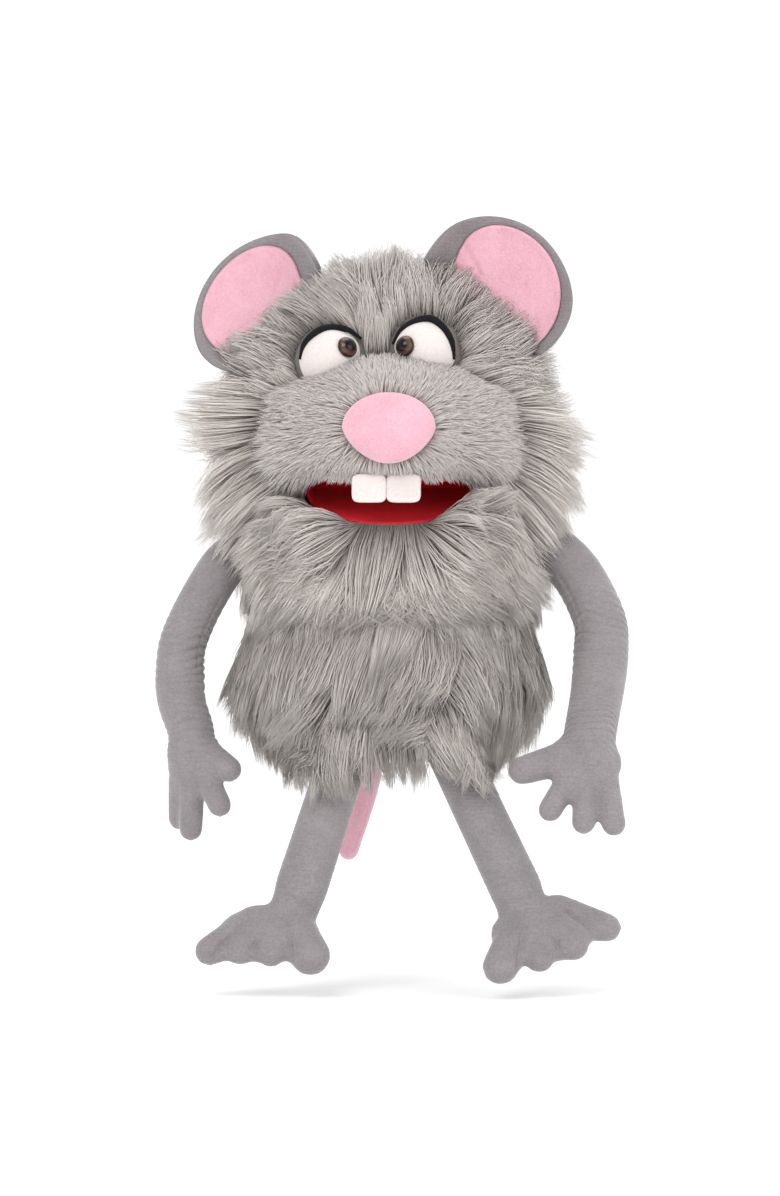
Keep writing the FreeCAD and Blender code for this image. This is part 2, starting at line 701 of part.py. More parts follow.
def build_arm(side):
    shoulder = joint_point(side, "shoulder")
    elbow = joint_point(side, "elbow")
    wrist = joint_point(side, "wrist")
    part(f"shoulder_tab_{side}", ball(f"shoulder_tab_{side}", "arm_tab_r", shoulder))
    stuffed_limb(f"upper_arm_cover_{side}", f"upper_arm_filling_{side}", "arm_r", shoulder, elbow,
                 "arm_start", "elbow_gap")
    stuffed_limb(f"forearm_cover_{side}", f"forearm_filling_{side}", "arm_r", elbow, wrist,
                 "elbow_gap", "wrist_gap")
    build_hand(side)


# ---------------------------------------------------------------- legs and feet

def pebble(name, radius, half_thick):
    """A flat round disc with a fully rounded edge, lying level."""
    radius, half_thick = size(radius), size(half_thick)
    rim = radius - half_thick
    corners = [(0, -half_thick), (rim, -half_thick), (radius, 0), (rim, half_thick), (0, half_thick)]
    return turned(name, corners, {1: 0, 2: 0})


def build_foot(side, ankle):
    """A flat instep with four round toes in a fan, in one piece."""
    instep = pebble(f"instep_{side}", "instep_r", "instep_half_thick")
    pieces = [put(instep, point(0, "instep_y", "foot_z"))]
    for index in range(4):
        offset = index - 1.5
        spot = point(size("toe_step") * offset, "toe_y", "foot_z")
        toe = capsule(f"toe_{side}_{index}", "toe_r", -size("toe_r"), "toe_length")
        pieces.append(put(toe, spot, f"{turn('z', size('toe_splay') * offset)} * {turn('x', 90)}"))
    rotation = " * ".join(
        [turn("z", f"{side}_foot_yaw"), turn("y", f"{side}_foot_roll"), turn("x", "foot_pitch")]
    )
    part(f"foot_cover_{side}", put(fuse(f"foot_cover_{side}", pieces), ankle, rotation))


def build_leg(side):
    hip = point(f"{side}_hip_x", "leg_y", "hip_z")
    ankle = point(f"{side}_ankle_x", "leg_y", f"{side}_ankle_z")
    part(f"hip_tab_{side}", ball(f"hip_tab_{side}", "leg_tab_r", hip))
    stuffed_limb(f"leg_cover_{side}", f"leg_filling_{side}", "leg_r", hip, ankle, "leg_start", "ankle_gap")
    build_foot(side, ankle)


def build_tail():
    start = joint_point("tail", "root")
    bend = joint_point("tail", "bend")
    end = joint_point("tail", "tip")
    for name, low, high in (("tail_base", start, bend), ("tail_tip", bend, end)):
        rod = capsule(name, "tail_r", "tail_gap", distance(low, high) - "tail_gap")
        part(name, put(rod, low, along(low, high)))


# ---------------------------------------------------------------- whole puppet

def build_puppet():
    build_torso()
    neck_band("neck_lining_lower", "lower_neck_r", size("lower_neck_low"), size("lower_neck_high"))
    neck_band("neck_lining_upper", "upper_neck_r", size("upper_neck_low"), size("upper_neck_high"))

    grown = skull_side("sew_gap")
    corners = grown + [(0, "skirt_z")]
    skull_room = turned("skull_room", corners, {0: "neck_z", 1: "skull_z", 2: "skull_z"})
    muzzle_room = muzzle_egg("muzzle_room", -size("sew_gap"))
    build_head(skull_room)
    build_nose(muzzle_room)
    build_teeth()
    washers = [build_eye(side, skull_room, muzzle_room) for side in ("left", "right")]
    part("eye_washers", group("eye_washers", washers))
    build_jaw()
    for side in ("left", "right"):
        build_ear(side)
        build_arm(side)
        build_leg(side)
    build_tail()


def check_document():
    """Stop if any object failed or any finished piece is empty or broken."""
    for thing in document.Objects:
        if "Invalid" in thing.State or "Error" in thing.State:
            raise RuntimeError(f"{thing.Name} failed: {thing.State}")
    for thing in parts:
        if thing.Shape.isNull() or not thing.Shape.isValid() or not thing.Shape.Solids:
            raise RuntimeError(f"{thing.Label} has no valid solid")


build_puppet()
document.recompute()
check_document()
os.makedirs("parts", exist_ok=True)
for thing in parts:
    thing.Shape.exportStep(f"parts/{thing.Label}.step")
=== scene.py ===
"""Looks of the long-pile rat hand puppet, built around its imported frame. Metres, in the frame's own axes."""

import json
import math
from contextlib import contextmanager

import bmesh
import bpy
import numpy as np
from mathutils import Matrix, Vector
from mathutils.kdtree import KDTree


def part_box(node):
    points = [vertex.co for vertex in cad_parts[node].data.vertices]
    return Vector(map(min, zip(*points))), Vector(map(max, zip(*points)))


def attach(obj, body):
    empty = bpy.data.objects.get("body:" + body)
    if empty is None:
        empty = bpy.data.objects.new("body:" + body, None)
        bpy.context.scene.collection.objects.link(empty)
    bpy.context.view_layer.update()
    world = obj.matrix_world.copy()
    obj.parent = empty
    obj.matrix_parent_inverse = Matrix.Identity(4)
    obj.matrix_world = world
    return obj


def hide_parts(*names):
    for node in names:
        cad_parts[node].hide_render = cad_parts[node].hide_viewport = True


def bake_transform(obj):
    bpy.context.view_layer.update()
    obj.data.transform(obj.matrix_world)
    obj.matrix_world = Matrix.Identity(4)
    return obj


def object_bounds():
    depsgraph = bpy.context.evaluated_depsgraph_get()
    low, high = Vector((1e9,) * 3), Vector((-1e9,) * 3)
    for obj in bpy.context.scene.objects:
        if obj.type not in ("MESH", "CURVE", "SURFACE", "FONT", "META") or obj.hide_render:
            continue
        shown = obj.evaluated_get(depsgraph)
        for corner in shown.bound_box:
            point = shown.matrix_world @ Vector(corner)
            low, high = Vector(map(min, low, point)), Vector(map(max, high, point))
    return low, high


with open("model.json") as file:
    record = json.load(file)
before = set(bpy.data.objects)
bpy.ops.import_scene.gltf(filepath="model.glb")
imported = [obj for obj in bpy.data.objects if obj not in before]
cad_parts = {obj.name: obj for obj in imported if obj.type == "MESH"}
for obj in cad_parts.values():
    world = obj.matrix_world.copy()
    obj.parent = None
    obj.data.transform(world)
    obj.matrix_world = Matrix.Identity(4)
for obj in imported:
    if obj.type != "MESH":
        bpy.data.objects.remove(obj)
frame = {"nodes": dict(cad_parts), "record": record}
CAD_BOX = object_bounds()
MM = 0.001
SIDES = ("left", "right")
X_WAY, Y_WAY, Z_WAY = np.eye(3)
JOINTS = {joint["name"]: joint for joint in frame["record"]["behaviour"]["joints"]}


def joint_place(name):
    """A joint's place in millimetres."""
    return np.array(JOINTS[name]["pos_m"]) / MM


def node_box(name):
    """A node's lowest and highest corners in millimetres."""
    low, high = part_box(name)
    return np.array(low) / MM, np.array(high) / MM


def unit(vectors):
    return vectors / np.maximum(np.linalg.norm(vectors, axis=-1, keepdims=True), 1e-9)


def smooth_step(low, high, values):
    ramp = np.clip((values - low) / (high - low), 0, 1)
    return ramp * ramp * (3 - 2 * ramp)


# ------------------------------------------------------------------ materials

def new_material(name):
    material = bpy.data.materials.new(name)
    material.use_nodes = True
    nodes = material.node_tree.nodes
    return material, nodes, material.node_tree.links, nodes["Principled BSDF"]


def add_node(nodes, kind, **values):
    node = nodes.new(kind)
    for key, value in values.items():
        if key in node.inputs:
            node.inputs[key].default_value = value
        else:
            setattr(node, key, value)
    return node


def set_inputs(node, values):
    for key, value in values.items():
        node.inputs[key].default_value = value


def ramp_node(nodes, stops):
    """A colour ramp; the first two stops are its ends."""
    ramp = nodes.new("ShaderNodeValToRGB")
    elements = ramp.color_ramp.elements
    for index, (position, colour) in enumerate(stops):
        element = elements[index] if index < 2 else elements.new(position)
        element.position = position
        element.color = (*colour, 1)
    return ramp


def pile_material(name, root, middle, tip, spread):
    """Long hair: U of the hair's own map picks its shade and V runs from root to tip; darker towards the root
    as painted shade deep in the pile.
    """
    material, nodes, links, shader = new_material(name)
    where = add_node(nodes, "ShaderNodeUVMap", uv_map="OFBake")
    split = nodes.new("ShaderNodeSeparateXYZ")
    links.new(where.outputs["UV"], split.inputs["Vector"])
    # Root colour darker than the tip: painted shade deep in the pile.
    length = ramp_node(nodes, [(0.0, root), (1.0, tip), (0.42, middle)])
    links.new(split.outputs["Y"], length.inputs["Fac"])
    shade = add_node(nodes, "ShaderNodeMapRange")
    set_inputs(shade, {"To Min": 1 - spread, "To Max": 1 + spread})
    links.new(split.outputs["X"], shade.inputs["Value"])
    tint = add_node(nodes, "ShaderNodeVectorMath", operation="SCALE")
    links.new(length.outputs["Color"], tint.inputs[0])
    links.new(shade.outputs["Result"], tint.inputs["Scale"])
    links.new(tint.outputs["Vector"], shader.inputs["Base Color"])
    set_inputs(shader, {"Roughness": 0.5, "Specular IOR Level": 0.35, "Sheen Weight": 0.25,
                        "Sheen Roughness": 0.4})
    return material


def colour_and_bump(nodes, links, shader, shade, stops, height, strength, rise_mm):
    """Colour a cloth by one value and raise its surface by another."""
    tone = ramp_node(nodes, stops)
    links.new(shade, tone.inputs["Fac"])
    links.new(tone.outputs["Color"], shader.inputs["Base Color"])
    bump = add_node(nodes, "ShaderNodeBump", Strength=strength, Distance=rise_mm * MM)
    links.new(height, bump.inputs["Height"])
    links.new(bump.outputs["Normal"], shader.inputs["Normal"])


def plush_material(name, dark, light, nap_mm=0.55, rib=0.0, depth=0.35, sheen=0.5, mottling=0.35):
    """Short plush: a fine nap of bumps, brushed patches of lighter and darker pile, and a soft sheen."""
    material, nodes, links, shader = new_material(name)
    where = nodes.new("ShaderNodeTexCoord")
    patches = add_node(nodes, "ShaderNodeTexNoise", Scale=75.0, Detail=3.0, Roughness=0.6)
    links.new(where.outputs["Object"], patches.inputs["Vector"])
    nap = add_node(nodes, "ShaderNodeTexNoise", Scale=1 / (nap_mm * MM) * 0.5, Detail=2.0, Roughness=0.7)
    links.new(where.outputs["Object"], nap.inputs["Vector"])
    mixed = add_node(nodes, "ShaderNodeMix", data_type="FLOAT")
    set_inputs(mixed, {"Factor": 1 - mottling})
    links.new(patches.outputs["Fac"], mixed.inputs["A"])
    links.new(nap.outputs["Fac"], mixed.inputs["B"])
    height = nap.outputs["Fac"]
    if rib:
        ribs = add_node(nodes, "ShaderNodeTexWave", Scale=rib, Distortion=2.5, Detail=2.0,
                        bands_direction="Z")
        set_inputs(ribs, {"Detail Scale": 1.5})
        links.new(where.outputs["Object"], ribs.inputs["Vector"])
        together = add_node(nodes, "ShaderNodeMix", data_type="FLOAT")
        set_inputs(together, {"Factor": 0.45})
        links.new(height, together.inputs["A"])
        links.new(ribs.outputs["Fac"], together.inputs["B"])
        height = together.outputs["Result"]
    stops = [(0.32, dark), (0.68, light)]
    colour_and_bump(nodes, links, shader, mixed.outputs["Result"], stops, height, depth, 0.5)
    set_inputs(shader, {"Roughness": 0.85, "Specular IOR Level": 0.15, "Sheen Weight": sheen,
                        "Sheen Roughness": 0.45})
    return material


def eye_material():
    """Clear brown plastic with a black pupil in its middle, by distance from the bead's own axis."""
    material, nodes, links, shader = new_material("safety_eye_gloss")
    where = add_node(nodes, "ShaderNodeUVMap", uv_map="OFBake")
    split = nodes.new("ShaderNodeSeparateXYZ")
    links.new(where.outputs["UV"], split.inputs["Vector"])
    pupil = (0.004, 0.003, 0.003)
    rings = ramp_node(nodes, [(0.0, pupil), (1.0, (0.02, 0.008, 0.005)), (0.56, pupil),
                              (0.62, (0.07, 0.032, 0.022)), (0.82, (0.12, 0.062, 0.045)),
                              (0.93, (0.035, 0.018, 0.012))])
    links.new(split.outputs["X"], rings.inputs["Fac"])
    links.new(rings.outputs["Color"], shader.inputs["Base Color"])
    set_inputs(shader, {"Roughness": 0.06, "Specular IOR Level": 0.3, "Coat Weight": 0.12,
                        "Coat Roughness": 0.03})
    return material


def weave_material(name, dark, light, thread_mm=0.8):
    """Plain woven lining cloth."""
    material, nodes, links, shader = new_material(name)
    where = nodes.new("ShaderNodeTexCoord")
    height = None
    for direction in ("X", "Z"):
        wave = add_node(nodes, "ShaderNodeTexWave", Scale=1 / (thread_mm * MM) / 20, Distortion=0.4,
                        bands_direction=direction)
        links.new(where.outputs["Object"], wave.inputs["Vector"])
        if height is None:
            height = wave.outputs["Fac"]
            continue
        both = add_node(nodes, "ShaderNodeMath", operation="MULTIPLY")
        links.new(height, both.inputs[0])
        links.new(wave.outputs["Fac"], both.inputs[1])
        height = both.outputs["Value"]
    colour_and_bump(nodes, links, shader, height, [(0.0, dark), (1.0, light)], height, 0.4, 0.3)
    set_inputs(shader, {"Roughness": 0.9})
    return material


MATERIALS = {
    # The first colour of each pile, at the root, is darker as painted shade deep in the pile.
    "long_pile": pile_material("long_pile_hair", (0.17, 0.150, 0.136), (0.50, 0.455, 0.425),
                               (0.70, 0.655, 0.615), 0.38),
    "short_pile": pile_material("short_pile_hair", (0.36, 0.33, 0.305), (0.62, 0.57, 0.54),
                                (0.80, 0.745, 0.71), 0.12),
    # Dark backing as painted shade, so the gaps between the hairs read as deep pile.
    "pile_skin_painted_shade": plush_material("pile_backing_painted_shade", (0.11, 0.098, 0.09), (0.17, 0.155, 0.142)),
    "muzzle_skin": plush_material("muzzle_backing", (0.54, 0.495, 0.465), (0.64, 0.59, 0.56)),
    "grey_plush": plush_material("grey_velboa", (0.21, 0.192, 0.198), (0.32, 0.293, 0.30),
                                 rib=190.0, depth=0.5),
    "pink_plush": plush_material("pink_velboa", (0.68, 0.34, 0.42), (0.82, 0.48, 0.565),
                                 depth=0.5, mottling=0.4),
    "red_felt": plush_material("red_felt_cloth", (0.62, 0.008, 0.020), (0.82, 0.014, 0.030),
                               sheen=0.05, depth=0.2),
    "white_fleece": plush_material("white_fleece_cloth", (0.68, 0.62, 0.595), (0.80, 0.74, 0.715),
                                   depth=0.25, sheen=0.3),
    "black_felt": plush_material("black_felt_cloth", (0.005, 0.005, 0.006), (0.014, 0.013, 0.015), sheen=0.0),
    "eye_plastic": eye_material(),
    "lining_cloth": weave_material("lining_weave", (0.20, 0.19, 0.19), (0.34, 0.33, 0.33)),
    "wadding": plush_material("polyester_wadding", (0.70, 0.70, 0.69), (0.86, 0.86, 0.85), nap_mm=1.5),
    "board": weave_material("stiff_board", (0.55, 0.52, 0.46), (0.66, 0.63, 0.57), thread_mm=2.0),
    "washer_plastic": plush_material("washer_moulding", (0.80, 0.80, 0.78), (0.84, 0.84, 0.82),
                                     depth=0.05, sheen=0),
    "elastic": weave_material("elastic_braid", (0.50, 0.50, 0.49), (0.75, 0.75, 0.73), thread_mm=0.6),
}


def wear(piece, material_name):
    piece.data.materials.clear()
    piece.data.materials.append(MATERIALS[material_name])


def dress_frame():
    """Give every carried-over CAD node the finish that its record slot names."""
    slots = {item["node"]: item["material_slot"] for item in frame["record"]["subparts"]}
    for node, piece in frame["nodes"].items():
        slot = slots[node]
        name = {"long_pile": "pile_skin_painted_shade", "short_pile": "muzzle_skin"}.get(slot, slot)
        wear(piece, name)


# ------------------------------------------------------------------ meshes

def add_object(name, data):
    """A new object in the scene from a mesh, a lamp or a camera."""
    thing = bpy.data.objects.new(name, data)
    bpy.context.scene.collection.objects.link(thing)
    return thing


def smooth_faces(mesh):
    mesh.polygons.foreach_set("use_smooth", np.ones(len(mesh.polygons), dtype=bool))


def mesh_piece(name, points, faces, material):
    """A new mesh object from points in millimetres."""
    mesh = bpy.data.meshes.new(name)
    mesh.from_pydata([tuple(p) for p in np.asarray(points) * MM], [], faces)
    mesh.update()
    smooth_faces(mesh)
    piece = add_object(name, mesh)
    wear(piece, material)
    return piece


def grid_faces(rows, columns, closed):
    """Quads between the points of a grid laid out row by row."""
    faces = []
    for row in range(rows - 1):
        for column in range(columns if closed else columns - 1):
            following = (column + 1) % columns
            faces.append((row * columns + column, row * columns + following,
                          (row + 1) * columns + following, (row + 1) * columns + column))
    return faces


def circles(middles, across, upright, half_across, half_upright, around):
    """Points of one flattened circle round each middle, row by row."""
    angles = 2 * math.pi * np.arange(around) / around
    first = (across * np.asarray(half_across)[:, None])[:, None] * np.cos(angles)[None, :, None]
    second = (upright * np.asarray(half_upright)[:, None])[:, None] * np.sin(angles)[None, :, None]
    return (np.asarray(middles)[:, None] + first + second).reshape(-1, 3)


def shell_faces(rows, columns):
    """Quads of a grid that closes both ways, as a thick cup's outside and inside do."""
    last = (rows - 1) * columns
    closing = [(last + i, last + (i + 1) % columns, (i + 1) % columns, i) for i in range(columns)]
    return grid_faces(rows, columns, True) + closing


def finish_slot(piece, body, slot, *nodes):
    """Put a piece on its body, in the place of the given CAD nodes."""
    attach(piece, body)
    if nodes:
        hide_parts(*nodes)


def finish_bridge(piece, bodies, start, end, slot, *nodes):
    """Leave a piece fixed where it was built and hide the given CAD nodes; the two bodies and the start and
    end in millimetres are not used.
    """
    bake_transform(piece)
    if nodes:
        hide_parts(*nodes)


def use_modifier(piece, kind, **values):
    """Add a modifier, apply it to the mesh and leave none behind."""
    modifier = piece.modifiers.new(kind.lower(), kind)
    for key, value in values.items():
        setattr(modifier, key, value)
    bake_modifiers(piece)


def bake_modifiers(piece):
    depsgraph = bpy.context.evaluated_depsgraph_get()
    mesh = bpy.data.meshes.new_from_object(piece.evaluated_get(depsgraph))
    old = piece.data
    piece.modifiers.clear()
    piece.data = mesh
    bpy.data.meshes.remove(old)
    smooth_faces(mesh)


def points_of(mesh):
    flat = np.empty(len(mesh.vertices) * 3)
    mesh.vertices.foreach_get("co", flat)
    return flat.reshape(-1, 3)


def set_points(mesh, points):
    mesh.vertices.foreach_set("co", np.asarray(points, dtype=np.float64).ravel())
    mesh.update()


def normals_of(mesh):
    flat = np.empty(len(mesh.vertices) * 3)
    mesh.vertices.foreach_get("normal", flat)
    return flat.reshape(-1, 3)


@contextmanager
def editing(piece):
    """The piece's mesh as an editable one, which is written back afterwards."""
    work = bmesh.new()
    work.from_mesh(piece.data)
    yield work
    work.to_mesh(piece.data)
    work.free()


def tidy_closed(piece):
    """Merge doubled points and turn every face outwards."""
    with editing(piece) as work:
        bmesh.ops.remove_doubles(work, verts=work.verts, dist=0.02 * MM)
        bmesh.ops.dissolve_degenerate(work, dist=0.005 * MM, edges=work.edges)
        bmesh.ops.recalc_face_normals(work, faces=work.faces)


def relax(piece, rounds):
    """Smooth a mesh by pulling each point halfway towards its neighbours."""
    axes = {f"use_axis_{axis}": True for axis in "xyz"}
    with editing(piece) as work:
        for _ in range(rounds):
            bmesh.ops.smooth_vert(work, verts=work.verts, factor=0.5, **axes)


PUFF_PRESSURE = 4.0
PUFF_FRAMES = 20


def inflate(piece, cap_mm):
    """Puff a closed plush skin with a short cloth simulation, and hold each point near where it began."""
    before = points_of(piece.data).copy()
    cloth = piece.modifiers.new("puff", "CLOTH")
    settings = cloth.settings
    settings.quality = 5
    settings.mass = 0.2
    settings.tension_stiffness = 25
    settings.compression_stiffness = 25
    settings.shear_stiffness = 15
    settings.bending_stiffness = 0.4
    settings.use_pressure = True
    settings.uniform_pressure_force = PUFF_PRESSURE
    settings.effector_weights.gravity = 0
    cloth.collision_settings.use_collision = False
    for number in range(1, PUFF_FRAMES + 1):
        bpy.context.scene.frame_set(number)
    bake_modifiers(piece)
    bpy.context.scene.frame_set(1)
    moved = points_of(piece.data) - before
    size = np.linalg.norm(moved, axis=1, keepdims=True)
    set_points(piece.data, before + moved * np.minimum(1, cap_mm * MM / np.maximum(size, 1e-12)))


# ------------------------------------------------------------------ hair

HAIR_TAPER = (0.8, 1.0, 0.86, 0.62)


def hair_pattern(rings):
    """One hair's faces: all corners, each face's number of corners, and how far along each corner lies."""
    pattern, sizes, along = [0, 2, 1], [3], [0.0] * 3
    for ring in range(rings - 1):
        low, high = ring / rings, (ring + 1) / rings
        for corner in range(3):
            here = ring * 3 + corner
            following = ring * 3 + (corner + 1) % 3
            pattern += [here, following, following + 3, here + 3]
            sizes.append(4)
            along += [low, low, high, high]
    base = (rings - 1) * 3
    for corner in range(3):
        pattern += [base + corner, base + (corner + 1) % 3, rings * 3]
        sizes.append(3)
        along += [(rings - 1) / rings, (rings - 1) / rings, 1.0]
    return np.array(pattern), np.array(sizes), np.array(along)


def hair_points(paths, widths, normals):
    """Three corners at every station but the last, and a point at the tip, for each hair."""
    count, stations = paths.shape[:2]
    tangents = unit(np.gradient(paths, axis=1))
    side = unit(np.cross(tangents, np.broadcast_to(normals[:, None, :], tangents.shape)))
    rise = np.cross(side, tangents)
    rings = stations - 1
    half = widths[:, None, None] * np.array(HAIR_TAPER)[None, :rings, None] / 2
    corners = []
    for corner in range(3):
        angle = 2 * math.pi * corner / 3 + math.pi / 6
        spread = side[:, :rings] * math.cos(angle) + rise[:, :rings] * math.sin(angle) * 0.7
        corners.append(paths[:, :rings] + spread * half)
    tube = np.stack(corners, axis=2).reshape(count, rings * 3, 3)
    return np.concatenate([tube, paths[:, -1:]], axis=1)


def hair_mesh(name, paths, widths, normals, shades, material):
    """One closed, three-sided, tapering tube for each path, all in one mesh that carries its own map."""
    points = hair_points(paths, widths, normals)
    count, each = points.shape[:2]
    pattern, sizes, along = hair_pattern(paths.shape[1] - 1)
    loops = (np.arange(count)[:, None] * each + pattern[None, :]).ravel()
    totals = np.tile(sizes, count)
    starts = np.concatenate([[0], np.cumsum(totals)[:-1]])

    mesh = bpy.data.meshes.new(name)
    mesh.vertices.add(count * each)
    mesh.vertices.foreach_set("co", (points.reshape(-1) * MM))
    mesh.loops.add(len(loops))
    mesh.loops.foreach_set("vertex_index", loops.astype(np.int32))
    mesh.polygons.add(len(totals))
    mesh.polygons.foreach_set("loop_start", starts.astype(np.int32))
    mesh.polygons.foreach_set("loop_total", totals.astype(np.int32))
    smooth_faces(mesh)
    layer = mesh.uv_layers.new(name="OFBake")
    uv = np.stack([np.repeat(shades, len(pattern)), np.tile(along, count)], axis=1)
    layer.data.foreach_set("uv", uv.ravel())
    mesh.update(calc_edges=True)
    mesh.validate()
    piece = add_object(name, mesh)
    wear(piece, material)
    return piece


def nearest(points, guides):
    """For each point, the number of the guide nearest to it."""
    tree = KDTree(len(guides))
    for index, guide in enumerate(guides):
        tree.insert(guide, index)
    tree.balance()
    return np.array([tree.find(point)[1] for point in points])


def drift_field(points, rng, scale_mm):
    """Smooth random values about 0 that vary over the given length, made of a few crossing waves."""
    waves = 7
    total = np.zeros(len(points))
    for _ in range(waves):
        direction = unit(rng.normal(size=3)) / scale_mm
        total += np.sin(points @ direction * 2 * math.pi + rng.uniform(0, 2 * math.pi))
    return total / math.sqrt(waves)


def free_paths(roots, normals, flow, bends, lengths, lift, droop, push_out, stations):
    """Grow each hair from its root: out of the skin, over along the flow, and down with its weight."""
    paths = np.empty((len(roots), stations, 3))
    paths[:, 0] = roots
    step = lengths[:, None] / (stations - 1)
    down = np.array([0.0, 0.0, -1.0])
    for station in range(1, stations):
        share = (station - 0.5) / (stations - 1)
        bent = turn_flow(flow, normals, bends * share)
        heading = bent + normals * (lift * (1 - 0.75 * share))[:, None] + down * (droop * share)[:, None]
        paths[:, station] = paths[:, station - 1] + unit(heading) * step
    return push_out(paths)


def turn_flow(flow, normals, angles):
    """Turn each flow direction about its own normal."""
    across = np.cross(normals, flow)
    return flow * np.cos(angles)[:, None] + across * np.sin(angles)[:, None]


def grow_coat(roots, normals, flow, look, rng, push_out):
    """Hair that gathers into pointed locks: coarse locks first, fine locks within them, then single hairs."""
    count = len(roots)
    stations = look["stations"]
    base_length = look["length"](roots)
    lift = look["lift"](roots)
    droop = look["droop"](roots)
    sway = drift_field(roots, rng, look["sway_mm"]) * look["sway"]

    def own_paths(chosen, wildness):
        many = len(chosen)
        angles = sway[chosen] + rng.normal(0, wildness, many)
        lengths = base_length[chosen] * (1 + rng.normal(0, 0.17, many)).clip(0.55, 1.4)
        lifts = lift[chosen] * (1 + rng.normal(0, 0.25, many)).clip(0.4, 1.9)
        turned = turn_flow(flow[chosen], normals[chosen], angles)
        bends = rng.normal(0, wildness * 1.8, many)
        return free_paths(roots[chosen], normals[chosen], turned, bends, lengths, lifts, droop[chosen],
                          push_out, stations)

    share = np.linspace(0, 1, stations)[None, :, None]
    coarse = rng.choice(count, max(8, count // look["coarse"]), replace=False)
    fine = rng.choice(count, max(16, count // look["fine"]), replace=False)
    coarse_paths = own_paths(coarse, look["wild"])
    fine_paths = own_paths(fine, look["wild"] * 0.6)
    owner = nearest(roots[fine], roots[coarse])
    fine_paths += (coarse_paths[owner] - fine_paths) * look["gather"] * share ** 1.2
    hairs = own_paths(np.arange(count), look["wild"] * 0.35)
    owner = nearest(roots, roots[fine])
    grip = np.clip(rng.normal(look["grip"], 0.12, count), 0.2, 0.97)[:, None, None]
    hairs += (fine_paths[owner] - hairs) * grip * share ** 1.1
    lock_shade = rng.uniform(0, 1, len(fine))[owner]
    own_shade = 0.4 * lock_shade + 0.6 * rng.uniform(0, 1, count)
    shades = np.clip(look["shade"](roots) + 0.5 * (own_shade - 0.5), 0, 1)
    widths = look["width"] * rng.uniform(0.7, 1.3, count)
    return push_out(hairs), widths, shades


MOST_HAIRS = 8500


def coat(name, roots, normals, flow, look, rng, push_out, body, slot):
    """Grow a coat and split it into pieces small enough to keep every hair."""
    paths, widths, shades = grow_coat(roots, normals, flow, look, rng, push_out)
    pieces = max(1, math.ceil(len(roots) / MOST_HAIRS))
    order = np.argsort(np.arctan2(roots[:, 1], roots[:, 0]), kind="stable")
    for index, chosen in enumerate(np.array_split(order, pieces)):
        piece = hair_mesh(f"{name}_{index + 1}", paths[chosen], widths[chosen], normals[chosen],
                          shades[chosen], slot)
        finish_slot(piece, body, slot)


# ------------------------------------------------------------------ skins of revolution

def arc_line(start, end, centre_height, count):
    """Points (radius, height) along the shorter arc between two points, its centre at a known height."""
    half = (np.array(start) + np.array(end)) / 2
    slide = (centre_height - half[1]) / (end[0] - start[0])
    centre = np.array([half[0] - slide * (end[1] - start[1]), centre_height])
    first = math.atan2(start[1] - centre[1], start[0] - centre[0])
    last = math.atan2(end[1] - centre[1], end[0] - centre[0])
    radius = math.hypot(start[0] - centre[0], start[1] - centre[1])
    angles = np.linspace(first, last, count)
    return centre + radius * np.stack([np.cos(angles), np.sin(angles)], axis=1)


# Places on the body's side line, as (radius, height).
HEM = (47.2, 2.0)
WAIST = (62.0, 34.0)
COLLAR = (56.65, 66.0)
NECK_Z = joint_place("head_turn")[2]
SKIRT_R = 49.8
SKIRT_Z = 70.0
SKULL_R = node_box("head_pelt_back")[1][0]
SKULL_TOP = node_box("head_pelt_back")[1][2]
SKULL_Z = SKULL_TOP - SKULL_R
MUZZLE_LOW, MUZZLE_HIGH = node_box("muzzle_pelt")
MUZZLE_R = MUZZLE_HIGH[0]
MUZZLE_Y = MUZZLE_LOW[1] + MUZZLE_R
MUZZLE_Z = 133.0
MUZZLE_RISE = 34.0
LIP_Z = MUZZLE_LOW[2]

TORSO_LINE = np.concatenate([arc_line(HEM, WAIST, WAIST[1], 40), arc_line(WAIST, COLLAR, WAIST[1], 40)[1:]])
THROAT_LINE = np.concatenate([TORSO_LINE, [(53.0, 74.0), (46.0, 82.0), (36.0, 90.0)]])
SKIRT_LOW_R = math.sqrt(SKIRT_R ** 2 - (NECK_Z - SKIRT_Z) ** 2)
HEAD_LINE = np.concatenate([
    arc_line((SKIRT_LOW_R, SKIRT_Z), (SKIRT_R, NECK_Z), NECK_Z, 8),
    arc_line((SKIRT_R, NECK_Z), (SKULL_R, SKULL_Z), SKULL_Z, 50)[1:],
    arc_line((SKULL_R, SKULL_Z), (0.0, SKULL_TOP), SKULL_Z, 60)[1:],
])


def scatter_on_turned(line, count, rng):
    """Even random points and outward normals on the surface that a side line sweeps about Z."""
    spans = np.diff(line, axis=0)
    lengths = np.linalg.norm(spans, axis=1)
    areas = lengths * (line[:-1, 0] + line[1:, 0])
    pick = rng.choice(len(spans), count, p=areas / areas.sum())
    part = rng.uniform(0, 1, count)
    spots = line[pick] + spans[pick] * part[:, None]
    angle = rng.uniform(-math.pi, math.pi, count)
    outward = np.stack([spans[pick, 1], -spans[pick, 0]], axis=1) / lengths[pick, None]
    around = np.stack([np.cos(angle), np.sin(angle)], axis=1)
    points = np.concatenate([around * spots[:, :1], spots[:, 1:]], axis=1)
    normals = np.concatenate([around * outward[:, :1], outward[:, 1:]], axis=1)
    return points, unit(normals)


def tangent_to(normals, directions):
    """The part of each direction that lies in the skin."""
    return unit(directions - normals * np.sum(directions * normals, axis=1, keepdims=True))


def own_spread(paths, low, high):
    """A clearance of its own for each hair, so that pushed hair keeps its depth: a hash of where it grows."""
    mixed = np.sin(paths[:, :1, 0] * 12.9898 + paths[:, :1, 2] * 78.233) * 43758.5453
    return low + (high - low) * (mixed - np.floor(mixed))


